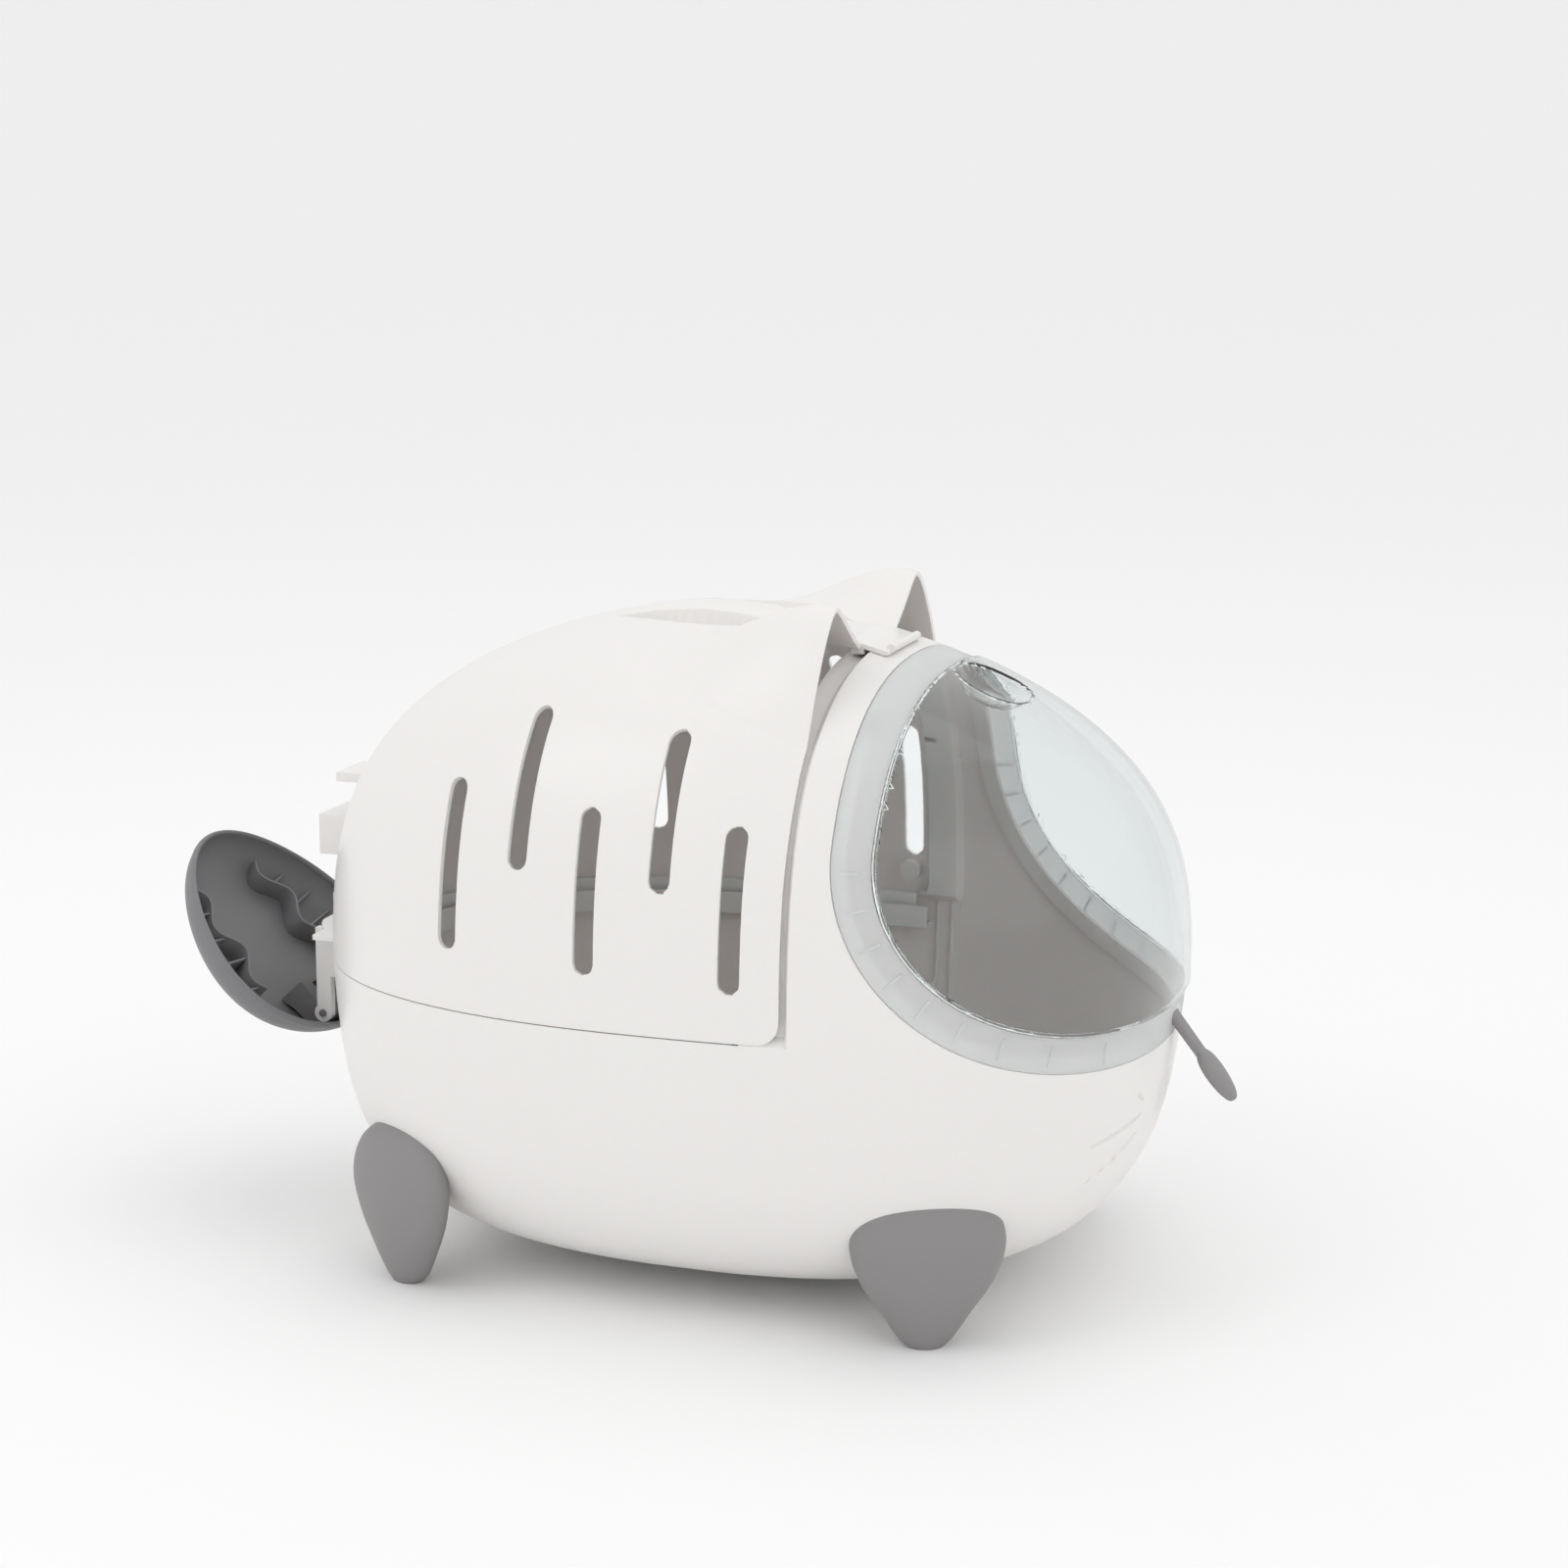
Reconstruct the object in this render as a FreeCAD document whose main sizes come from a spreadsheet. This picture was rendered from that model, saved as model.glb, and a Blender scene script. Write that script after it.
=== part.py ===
import FreeCAD, Part
import math
import os
from FreeCAD import Vector

# Cat-shaped litter box: tub with a front cowl, lift-off hood, clear visor, paws and tail dish.
# Axes while building: X to the cat's front, Y across, Z up from the floor, X = 0 at tub middle.

doc = FreeCAD.newDocument("litter_box")
sheet = doc.addObject("Spreadsheet::Sheet", "dims")
DIMS = [
    ("frame_shift", 48.4, "slide of the whole object along X"),
    ("wall", 3.0, "moulded wall"),
    ("half_length", 267.0, "body half length at the rim"),
    ("half_width", 195.0, "body half width at the rim"),
    ("rim_z", 187.0, "height of the tub rim"),
    ("crown_z", 408.0, "height of the roof"),
    ("under_z", 12.0, "height of the tub underside"),
    ("seam_gap", 0.8, "gap between shells"),
    ("cowl_back", 60.0, "rear edge of the cowl"),
    ("hood_front", 76.0, "front edge of the hood"),
    ("cowl_step", 81.0, "front of the recessed strip"),
    ("strip_inset", 6.2, "depth of the recessed strip"),
    ("gutter_floor", 168.0, "floor of the hood gutter"),
    ("gutter_width", 16.0, "inboard face of the gutter wall"),
    ("visor_x", 100.0, "upright part of the visor seam"),
    ("visor_mid_x", 258.0, "centre of the seam quarter ellipse"),
    ("visor_mid_z", 300.0, "centre of the seam quarter ellipse"),
    ("visor_low_z", 163.0, "bottom of the visor seam"),
    ("visor_wall", 2.4, "clear wall"),
    ("rim_band", 22.0, "width of the frosted band"),
    ("slot_width", 13.0, "vent slot"),
    ("hook_x", 92.0, "rounded nose of the hood hook, where the hood pivots"),
    ("hook_z", 391.2, "rounded nose of the hood hook"),
    ("hook_radius", 2.6, "rounded nose of the hood hook"),
    ("hinge_x", -288.0, "tail hinge"),
    ("hinge_z", 132.0, "tail hinge"),
    ("tail_pin_radius", 2.5, "tail hinge pin"),
    ("pin_clearance", 0.05, "running clearance of the pin"),
    ("tail_tilt", 43.0, "lean of the open tail from upright"),
    ("tail_half_width", 92.0, "tail dish"),
    ("tail_half_length", 79.0, "tail dish"),
    ("post_gap", 26.0, "inner face of each bracket post"),
    ("post_width", 6.0, "bracket post"),
    ("nose_radius", 18.0, "nose pull"),
    ("nose_thick", 8.0, "nose pull"),
]
for row, (name, value, what) in enumerate(DIMS, start=1):
    sheet.set("A%d" % row, what)
    sheet.set("B%d" % row, str(value))
    sheet.setAlias("B%d" % row, name)
doc.recompute()
D = {name: float(sheet.get(name)) for name, _, _ in DIMS}
BIG = 420.0


def box(x0, x1, y0, y1, z0, z1):
    """A box between two corners."""
    return Part.makeBox(x1 - x0, y1 - y0, z1 - z0, Vector(x0, y0, z0))


def both(shape):
    """The shape and its mirror across the middle plane."""
    return shape.fuse(shape.mirror(Vector(0, 0, 0), Vector(0, 1, 0)))


def mirrored(shape):
    return shape.mirror(Vector(0, 0, 0), Vector(0, 1, 0))


# ---- the smooth body that the tub, cowl, hood and visor are cut from ----
def level(share, inset):
    """Half length, half width, middle, roundness and height; share runs -1 (underside) to 1 (roof)."""
    half_l, half_w = D["half_length"] - inset, D["half_width"] - inset
    if share >= 0:
        cube = share ** 3
        height = D["rim_z"] + (D["crown_z"] - inset - D["rim_z"]) * share
        return (half_l * (1 - cube) ** 0.6, half_w * (1 - cube) ** 0.45, -2 - 28 * cube,
                2.4 - 0.25 * share, height)
    down = -share
    size = (1 - 0.05 * down) * (1 - down ** 3.6) ** (1 / 3.8)
    height = D["rim_z"] - (D["rim_z"] - D["under_z"] - inset) * down
    return half_l * size, half_w * size, -4.0 + 2.0 * (1 - down), 2.4, height


def ring_wire(share, inset, count=20):
    """A closed smooth wire around the body at one level."""
    half_l, half_w, middle, power, height = level(share, inset)
    points = []
    for k in range(count):
        angle = 2 * math.pi * k / count
        c, s = math.cos(angle), math.sin(angle)
        points.append(Vector(
            middle + half_l * math.copysign(abs(c) ** (2 / power), c),
            half_w * math.copysign(abs(s) ** (2 / power), s), height))
    curve = Part.BSplineCurve()
    curve.interpolate(Points=points, PeriodicFlag=True)
    return Part.Wire([curve.toShape()])


SHARES = [-0.99, -0.92, -0.78, -0.55, -0.25, 0.0, 0.25, 0.48, 0.66, 0.8, 0.9, 0.96, 0.993]
_ovoids = {}


def ovoid(inset):
    """The body grown inward by inset, as a solid."""
    if inset not in _ovoids:
        _ovoids[inset] = Part.makeLoft([ring_wire(s, inset) for s in SHARES], True, False)
    return _ovoids[inset]


def skin(outer, inner):
    return ovoid(outer).cut(ovoid(inner))


# ---- the visor opening, seen from the side ----
def visor_region(step):
    """Everything in front of the seam, moved forward by step."""
    x, low = D["visor_x"] + step, D["visor_low_z"] + step
    mid_x, mid_z = D["visor_mid_x"], D["visor_mid_z"]
    run, drop = mid_x - x, mid_z - low
    corner = Vector(mid_x - run * math.cos(math.pi / 4), 0, mid_z - drop * math.sin(math.pi / 4))
    top, foot, end = Vector(x, 0, BIG), Vector(x, 0, mid_z), Vector(mid_x, 0, low)
    bend = Part.BSplineCurve()
    arc = [Vector(mid_x - run * math.cos(a), 0, mid_z - drop * math.sin(a))
           for a in [math.pi / 2 * k / 8 for k in range(9)]]
    bend.interpolate(arc)
    edges = [Part.makeLine(top, foot), bend.toShape(),
             Part.makeLine(end, Vector(BIG, 0, low)),
             Part.makeLine(Vector(BIG, 0, low), Vector(BIG, 0, BIG)),
             Part.makeLine(Vector(BIG, 0, BIG), top)]
    face = Part.Face(Part.Wire(edges))
    solid = face.extrude(Vector(0, 2 * BIG, 0))
    solid.translate(Vector(0, -BIG, 0))
    return solid


WALL, RIM = D["wall"], D["rim_z"]
SEAM = D["seam_gap"]

# ---- tub and cowl ----
BACK, STEP, STRIP = D["cowl_back"], D["cowl_step"], D["strip_inset"]
INBOARD, FLOOR = D["gutter_width"], D["gutter_floor"]
opening = visor_region(0)
tub_zone = box(-BIG, BIG, -BIG, BIG, 0, RIM).fuse(box(STEP - WALL, BIG, -BIG, BIG, RIM - 5, BIG))
tub_zone = tub_zone.removeSplitter().cut(opening)
base = ovoid(0).common(tub_zone)
base = base.fuse(ovoid(STRIP).common(box(BACK, STEP - 1, -BIG, BIG, RIM - 1, BIG)))
ledge_depth = 6.1
base = base.fuse(ovoid(3.6).common(visor_region(-1)).cut(visor_region(9)))
mouth = visor_region(9)
# hollow it, from the deepest surface outwards
base = base.cut(ovoid(INBOARD).common(box(-BIG, BIG, -BIG, BIG, 0, RIM - 1)))
base = base.cut(ovoid(STRIP + 2.6).common(box(-BIG, BIG, -BIG, BIG, RIM - 2, BIG)))
base = base.cut(ovoid(ledge_depth).common(
    box(-BIG, BIG, -BIG, BIG, 0, FLOOR).fuse(box(BACK + WALL, BIG, -BIG, BIG, 0, RIM - 2)).fuse(
        box(STEP + 0.5, BIG, -BIG, BIG, RIM - 3, BIG)).removeSplitter()))
shell_zone = box(-BIG, BIG, -BIG, BIG, 0, FLOOR - 0.02).fuse(
    box(BACK + WALL + 0.1, BIG, -BIG, BIG, 0, RIM - 2.1)).fuse(
    box(STEP, BIG, -BIG, BIG, RIM - 4, BIG)).removeSplitter().cut(visor_region(-3))
base = base.cut(ovoid(WALL).common(shell_zone))
channel = ovoid(WALL).common(box(-BIG, BACK, -BIG, BIG, FLOOR + WALL, RIM + 5))
channel = channel.cut(ovoid(INBOARD - WALL).common(box(-BIG, BACK + 1, -BIG, BIG, FLOOR, RIM - 4)))
base = base.cut(channel)
# sockets for the visor hooks and the visor prongs
hook_z = 359.0
socket = box(91, 113, 60, BIG, hook_z - 6, hook_z + 8).common(ovoid(2.0))
prong_gap = box(225, BIG, 36, 54, D["visor_low_z"] + 0.5, 180).common(ovoid(2.6))
base = base.cut(Part.makeCompound([socket, mirrored(socket), prong_gap, mirrored(prong_gap)]))


def skin_x(y, z, inset=0.0):
    """Where the front of the body is at a given width and height below the rim."""
    down = (D["rim_z"] - z) / (D["rim_z"] - D["under_z"] - inset)
    half_l, half_w, middle, power, _ = level(-down, inset)
    return middle + half_l * (1 - (abs(y) / half_w) ** power) ** (1 / power)


# finger recess behind the nose pull
DENT = Vector(293, 0, 118)
dent_back = Part.makeSphere(42.6, DENT).common(ovoid(1.0))
base = base.fuse(dent_back)
base = base.cut(Part.makeSphere(40, DENT))
# whiskers: three engraved lines each side of the nose
for y0, z0, y1, z1 in ((46, 134, 54, 139), (46, 124, 92, 116), (46, 112, 84, 92)):
    start, end = Vector(skin_x(y0, z0), y0, z0), Vector(skin_x(y1, z1), y1, z1)
    middle_y, middle_z = (y0 + y1) / 2, (z0 + z1) / 2
    bend = Vector(skin_x(middle_y, middle_z), middle_y, middle_z)
    for first, last in ((start, bend), (bend, end)):
        line = last - first
        groove = Part.makeCylinder(1.5, line.Length, first, line)
        base = base.cut(Part.makeCompound([groove, mirrored(groove)]))

# ---- hood ----
HOOD_LOW = RIM + SEAM
FRONT = D["hood_front"]


def arch(x, y0, z0, peak_y, peak_z, y1, z1, deep_y, deep_z):
    """One cross-section of an ear: a closed smooth loop with a rounded peak."""
    points = [Vector(x, y0, z0), Vector(x, (y0 + peak_y) / 2 + 2, (z0 + peak_z) / 2 + 2),
              Vector(x, peak_y - 3, peak_z - 2), Vector(x, peak_y + 3, peak_z - 2),
              Vector(x, (y1 + peak_y) / 2 + 3, (z1 + peak_z) / 2 + 5), Vector(x, y1, z1),
              Vector(x, deep_y, deep_z)]
    curve = Part.BSplineCurve()
    curve.interpolate(Points=points, PeriodicFlag=True)
    return Part.Wire([curve.toShape()])


def ear(thin, front):
    """The right ear as a solid, thinned by thin all round."""
    wires = [
        arch(front, 34 + thin, 384 - thin, 86, 424 - thin * 1.5, 130 - thin, 352, 84, 352),
        arch(30, 40 + thin, 380 - thin, 84, 415 - thin * 1.5, 124 - thin, 352, 82, 354),
        arch(-20, 56 + thin, 378 - thin, 80, 402 - thin * 1.5, 108 - thin, 356, 80, 356),
    ]
    return Part.makeLoft(wires, True, False)


def almond(grow, top, bottom):
    """A finger pocket outline in plan, as an upright block."""
    rear, nose = Vector(-80 - grow, 26, bottom), Vector(50 + grow, 30, bottom)
    inner = Vector(-10, 20 - grow, bottom)
    outer = Vector(-12, 52 + grow, bottom)
    edges = [Part.Arc(rear, inner, nose).toShape(), Part.Arc(nose, outer, rear).toShape()]
    return Part.Face(Part.Wire(edges)).extrude(Vector(0, 0, top - bottom))


hood = ovoid(0).common(box(-BIG, FRONT, -BIG, BIG, HOOD_LOW, BIG))
right_ear = ear(0, FRONT)
hood = hood.fuse(right_ear).fuse(mirrored(right_ear))
hood = hood.fuse(ovoid(8).common(box(-BIG, 50, -BIG, BIG, RIM - 7, HOOD_LOW + 1)))
hollow = ear(WALL, FRONT + 1)
hood = hood.cut(ovoid(14 + WALL).common(box(-BIG, BIG, -BIG, BIG, RIM - 10, BIG)))
hood = hood.cut(hollow).cut(mirrored(hollow))
hood = hood.cut(ovoid(10).common(box(-BIG, BIG, -BIG, BIG, RIM - 10, HOOD_LOW + WALL - 0.5)))
island = almond(WALL, BIG, 300)
upper_zone = box(-BIG, BIG, -BIG, BIG, HOOD_LOW + WALL, BIG).fuse(
    box(50, BIG, -BIG, BIG, RIM - 20, BIG)).removeSplitter().cut(island).cut(mirrored(island))
hood = hood.cut(ovoid(WALL).common(upper_zone))
pocket = almond(0, BIG, 300).cut(ovoid(14))
hood = hood.cut(pocket).cut(mirrored(pocket))


def vent(x, low, high, lean=0.0):
    """A stadium slot through both sides."""
    half = D["slot_width"] / 2
    bar = box(x - half, x + half, -BIG, BIG, low + half, high - half)
    for z in (low + half, high - half):
        bar = bar.fuse(Part.makeCylinder(half, 2 * BIG, Vector(x, -BIG, z), Vector(0, 1, 0)))
    return bar.removeSplitter()


vents = [vent(x, low, high) for x, low, high in (
    (-133, 224, 322), (-86, 276, 364), (-41, 220, 315), (4, 271, 358), (47, 216, 310))]
hood = hood.cut(Part.makeCompound(vents))
# notch for the tail bracket and cut-out for the hook bar
hood = hood.cut(box(-BIG, -240, -64, 64, RIM - 20, RIM + 9))
hood = hood.cut(box(66, 120, -36, 36, 380, BIG))


def add(name, shape):
    """A sub-part from a finished shape, slid with the frame."""
    item = doc.addObject("Part::Feature", name)
    item.Label = name
    item.Shape = shape.transformed(FreeCAD.Matrix(), copy=True)
    item.setExpression("Placement.Base.x", "dims.frame_shift")
    return item


nodes = [add("base_tub", base), add("hood_shell", hood)]

# hood hook: a lip bar that lies on the ridge of the cowl top and reaches into the strip
hook_bar = skin(-3.2, -0.4).common(box(69.2, 92, -35, 35, 388, 414))
hook_bar = hook_bar.fuse(skin(-0.6, STRIP - 0.4).common(box(69.2, 77.2, -35, 35, 388, 414)))
hook_nose = Part.makeCylinder(D["hook_radius"], 56, Vector(D["hook_x"], -28, D["hook_z"]), Vector(0, 1, 0))
hook_bar = hook_bar.fuse(hook_nose)
nodes.append(add("hood_hook", hook_bar))

# rear catch box on the hood
catch_y, catch_low, catch_high = 22.0, 236.0, 262.0
catch = box(-292, -240, -catch_y, catch_y, catch_low, catch_high)
catch = catch.cut(box(-300, -240, -catch_y + 2.4, catch_y - 2.4, catch_low + 2.4, catch_high - 2.4))
catch = catch.cut(ovoid(0))
nodes.append(add("hood_catch", catch))
lip = box(-289, -255, -34, 34, 205, 209).cut(ovoid(0))
lip = lip.common(Part.makeCylinder(46, 10, Vector(-243, 0, 203)))
nodes.append(add("hood_tongue", lip))
top_lug = box(-280, -200, -20, 20, 284, 290).cut(ovoid(0))
nodes.append(add("hood_rear_lug", top_lug))


# corner bosses inside the hood's front lower corners
def boss(side):
    rod = Part.makeCylinder(7, 30, Vector(45, 165, 206), Vector(0, 1, 0)).common(skin(WALL, 12))
    return rod if side > 0 else mirrored(rod)


nodes.append(add("hood_boss_left", boss(1)))
nodes.append(add("hood_boss_right", boss(-1)))

# ---- visor ----
thick = D["visor_wall"]
visor_skin = skin(0, thick)
rim_band = visor_skin.common(visor_region(SEAM)).cut(visor_region(D["rim_band"]))
dome = visor_skin.common(visor_region(D["rim_band"]))
ribs = []
for k in range(9):
    a = math.pi / 2 * k / 8
    at = Vector(D["visor_mid_x"] - 147 * math.cos(a), 0, D["visor_mid_z"] - 126 * math.sin(a))
    rib = Part.makeBox(14, 400, 1.4, Vector(-7, -200, -0.7))
    rib.rotate(Vector(0, 0, 0), Vector(0, 1, 0), math.degrees(a))
    rib.translate(at)
    ribs.append(rib.common(skin(-0.8, 0.6)))
rim_band = rim_band.multiFuse(ribs).common(visor_region(SEAM)).cut(visor_region(D["rim_band"]))
nodes.append(add("visor_rim", rim_band))
nodes.append(add("visor_dome", dome))
hook_skin, prong_skin = skin(2.4, 5.2), skin(2.4, 5.4)
low = D["visor_low_z"] + 1.6
nodes.append(add("visor_hook_left", hook_skin.common(box(93, 114, 60, BIG, hook_z - 4, hook_z + 3.5))))
nodes.append(add("visor_hook_right", hook_skin.common(box(93, 114, -BIG, -60, hook_z - 4, hook_z + 3.5))))
nodes.append(add("visor_prong_left", prong_skin.common(box(225, BIG, 38, 52, low, 176))))
nodes.append(add("visor_prong_right", prong_skin.common(box(225, BIG, -52, -38, low, 176))))

# nose pull: an oval button on a stem that leans out below the visor
lean = 38.0
stem = Part.makeBox(5, 15, 34, Vector(-2.5, -7.5, 0))
button = Part.makeCylinder(D["nose_radius"], D["nose_thick"], Vector(-D["nose_thick"] / 2, 0, -14),
                           Vector(1, 0, 0))
button = button.makeFillet(2.5, [e for e in button.Edges if abs(e.Length - 2 * math.pi * D["nose_radius"]) < 1])
pull = stem.fuse(button)
pull.rotate(Vector(0, 0, 0), Vector(0, 1, 0), -lean)
pull.translate(Vector(282, 0, 150))
pull = pull.cut(ovoid(0))
nodes.append(add("nose_pull", pull))


# ---- paws ----
PAW_LEVELS = ((0, 11, 9, 0), (6, 17, 12, 0), (20, 26, 16, 1), (42, 40, 19, 3), (64, 46, 20, 4),
              (84, 40, 17, 3), (97, 25, 11, 0), (104, 8, 4, -3))


def paw(x, y, turn, tall):
    """A pick-shaped leg: ellipses stacked from the floor, cut to seat on the tub."""
    wires = []
    for z, across, deep, out in PAW_LEVELS:
        ring = []
        for k in range(16):
            angle = 2 * math.pi * k / 16
            ring.append(Vector(across * math.cos(angle), out + deep * math.sin(angle), z * tall))
        curve = Part.BSplineCurve()
        curve.interpolate(Points=ring, PeriodicFlag=True)
        wires.append(Part.Wire([curve.toShape()]))
    solid = Part.makeLoft(wires, True, False)
    solid.rotate(Vector(0, 0, 0), Vector(0, 0, 1), turn)
    solid.translate(Vector(x, y, 0))
    solid = solid.cut(ovoid(0))
    return max(solid.Solids, key=lambda s: s.Volume)


front = paw(150, 138, -26, 1.0)
rear = paw(-181, 138, 34, 1.0)
nodes.append(add("paw_front_left", front))
nodes.append(add("paw_front_right", mirrored(front)))
nodes.append(add("paw_rear_left", rear))
nodes.append(add("paw_rear_right", mirrored(rear)))

# ---- tail bracket, pin, clip and dish ----
hx, hz = D["hinge_x"], D["hinge_z"]
radius, slack = D["tail_pin_radius"], D["pin_clearance"]
gap, post = D["post_gap"], D["post_width"]
shelf = box(-294, -258, -56, 56, RIM + 0.4, RIM + 3.6)
shelf = shelf.common(Part.makeCylinder(60, 20, Vector(-236, 0, RIM - 5)).fuse(
    box(-282, -240, -56, 56, RIM - 5, RIM + 10)))
tab = box(-261, -258, -38, 38, RIM + 0.4, RIM + 22)
bracket = shelf.fuse(tab)
lug = Part.makeCylinder(6, post, Vector(hx, gap, hz), Vector(0, 1, 0))
upright = box(hx - 4, hx + 6, gap, gap + post, hz, RIM + 2)
bracket = bracket.fuse(both(lug.fuse(upright)))
bracket = bracket.cut(Part.makeCylinder(radius + slack, 200, Vector(hx, -100, hz), Vector(0, 1, 0)))
stay = box(-285, -262, gap, gap + post, RIM - 30, RIM + 2).cut(ovoid(0))
bracket = bracket.fuse(both(stay)).removeSplitter()
nodes.append(add("tail_bracket", bracket))

tilt = D["tail_tilt"]


def place(shape):
    """From the dish's own frame (X out of the hollow, Z along the dish) to its open place."""
    turn = FreeCAD.Placement(Vector(hx, 0, hz), FreeCAD.Rotation(Vector(0, 1, 0), -tilt))
    return shape.transformed(turn.toMatrix(), copy=True)


def dish_wire(depth, size):
    """The dish outline, wide near the hinge and narrower at the tip."""
    ring = []
    for k in range(24):
        angle = 2 * math.pi * k / 24
        c, s = math.cos(angle), math.sin(angle)
        along = 63 + D["tail_half_length"] * size * c
        across = D["tail_half_width"] * size * s * (1 - 0.2 * c)
        ring.append(Vector(depth, across, along))
    curve = Part.BSplineCurve()
    curve.interpolate(Points=ring, PeriodicFlag=True)
    return Part.Wire([curve.toShape()])


def dish_solid(inset, top):
    levels = ((-24 + inset, 0.60), (-21 + inset, 0.74), (-14, 0.90), (-6, 0.97), (top, 1.0))
    shrink = inset / D["tail_half_length"]
    return Part.makeLoft([dish_wire(w, size - shrink) for w, size in levels], True, False)


outer_dish = dish_solid(0, 4)
inner_dish = dish_solid(2.6, 5)
tail = outer_dish.cut(inner_dish)


def wavy(side):
    """A wavy rib standing on the dish floor."""
    points = [Vector(-30, side * (30 + 12 * math.sin(k * 0.95) + 3 * k), 18 + 13 * k) for k in range(9)]
    curve = Part.BSplineCurve()
    curve.interpolate(points)
    band = curve.toShape().extrude(Vector(26, 0, 0))
    rib = band.makeOffsetShape(2.0, 0.01, fill=True)
    return rib


ribs = []
for side in (1, -1):
    ribs.append(wavy(side).common(dish_solid(1.3, 4)).common(box(-40, -7, -BIG, BIG, -BIG, BIG)))
gusset = []
for along in (40, 72, 104):
    for side in (1, -1):
        gusset.append(box(-24, -9, side * 62 - 30, side * 62 + 30, along, along + 1.8)
                      .common(dish_solid(1.3, 4)).cut(box(-40, 10, -42, 42, -BIG, BIG)))
tail = tail.multiFuse(ribs + gusset)
# room for the bracket posts and lugs, and a slot in the lower lip
tail = tail.cut(Part.makeCylinder(8.5, 2 * (gap + post + 3), Vector(0, -gap - post - 3, 0), Vector(0, 1, 0)))
tail = place(tail)
nodes.append(add("tail_dish", tail))

clip = Part.makeCylinder(6, 2 * gap - 3, Vector(0, -gap + 1.5, 0), Vector(0, 1, 0))
clip = clip.fuse(box(-19, -2, -gap + 1.5, gap - 1.5, -6, 26))
clip = clip.cut(box(-14, 0, -14, 14, 10, 22))
clip = clip.cut(Part.makeCylinder(radius + slack, 200, Vector(0, -100, 0), Vector(0, 1, 0)))
clip = clip.fuse(box(-30, -18, -gap + 1.5, gap - 1.5, 0, 26).common(inner_dish))
clip = clip.common(inner_dish.fuse(Part.makeCylinder(6, 2 * gap, Vector(0, -gap, 0), Vector(0, 1, 0)))
                   .fuse(box(-12, 3, -gap, gap, -6, 30)))
clip = place(clip)
nodes.append(add("tail_clip", clip))

pin = doc.addObject("Part::Cylinder", "tail_pin")
pin.Label = "tail_pin"
pin.setExpression("Radius", "dims.tail_pin_radius")
pin.setExpression("Height", "2 * (dims.post_gap + dims.post_width) + 2")
pin.Placement.Rotation = FreeCAD.Rotation(Vector(1, 0, 0), -90)
pin.setExpression("Placement.Base.x", "dims.hinge_x + dims.frame_shift")
pin.setExpression("Placement.Base.y", "-(dims.post_gap + dims.post_width) - 1")
pin.setExpression("Placement.Base.z", "dims.hinge_z")
nodes.append(pin)

# the frame's X = 0 is put under the middle of the whole length
corners = [p.x for shape in (tail, pull) for p in shape.tessellate(0.2)[0]]
sheet.set("B1", "%.2f" % (-(min(corners) + max(corners)) / 2))
doc.recompute()
print("frame_shift", sheet.get("frame_shift"), "length", max(corners) - min(corners))
os.makedirs("parts", exist_ok=True)
for node in nodes:
    bad = [s for s in node.State if "Invalid" in s or "Error" in s]
    shape = node.Shape
    if bad or shape.isNull() or not shape.isValid() or shape.Volume <= 0:
        print("PROBLEM", node.Label, bad, shape.isNull(), None if shape.isNull() else shape.isValid())
    b = shape.BoundBox
    print("%-18s solids %d vol %.1f cm3 x %.1f..%.1f y %.1f..%.1f z %.1f..%.1f" % (
        node.Label, len(shape.Solids), shape.Volume / 1000, b.XMin, b.XMax, b.YMin, b.YMax, b.ZMin, b.ZMax))
    shape.exportStep("parts/%s.step" % node.Label)
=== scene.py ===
"""Cat-shaped hooded litter box: white moulded tub and hood, clear visor, grey paws and tail dish.

Every shell is cut from one smooth body form. Lengths are in millimetres until a mesh is made.
"""

from __future__ import annotations

import logging
import math
from dataclasses import dataclass
from enum import Enum
from typing import Callable, Sequence

import bmesh
import bpy
import numpy as np
from mathutils import Matrix, Vector

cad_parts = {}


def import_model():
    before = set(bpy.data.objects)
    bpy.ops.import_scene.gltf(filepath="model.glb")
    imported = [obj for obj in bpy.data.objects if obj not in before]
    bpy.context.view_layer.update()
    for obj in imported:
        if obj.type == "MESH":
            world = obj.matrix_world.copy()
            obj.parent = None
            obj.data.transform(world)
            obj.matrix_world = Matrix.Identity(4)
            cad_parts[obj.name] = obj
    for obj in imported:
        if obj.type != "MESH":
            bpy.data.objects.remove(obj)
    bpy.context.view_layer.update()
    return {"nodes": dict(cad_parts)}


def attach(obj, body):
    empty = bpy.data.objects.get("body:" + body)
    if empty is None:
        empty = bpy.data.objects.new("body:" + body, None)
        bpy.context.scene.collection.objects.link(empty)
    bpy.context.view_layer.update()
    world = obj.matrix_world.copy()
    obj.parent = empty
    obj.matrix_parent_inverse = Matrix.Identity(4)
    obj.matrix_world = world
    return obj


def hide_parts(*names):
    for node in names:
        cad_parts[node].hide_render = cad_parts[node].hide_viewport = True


LOG = logging.getLogger("litter_box")
MM = 0.001
SHARP = 38.0
SIDES = {"left": 1, "right": -1}
Field = Callable[[np.ndarray], np.ndarray]


# ---- finishes
def linear(code: str) -> tuple[float, float, float, float]:
    """Turn an sRGB hex colour into linear RGBA.

    Args:
        code: six hex digits with a leading #.
    Returns:
        The linear colour with alpha 1.
    """
    parts = [int(code[i:i + 2], 16) / 255 for i in (1, 3, 5)]
    values = [p / 12.92 if p <= 0.04045 else ((p + 0.055) / 1.055) ** 2.4 for p in parts]
    return values[0], values[1], values[2], 1.0


class Surface(Enum):
    """How a moulded face is finished."""

    SATIN = "satin"
    GRAINED = "grained"
    CLEAR = "clear"
    FROSTED = "frosted"


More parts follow.
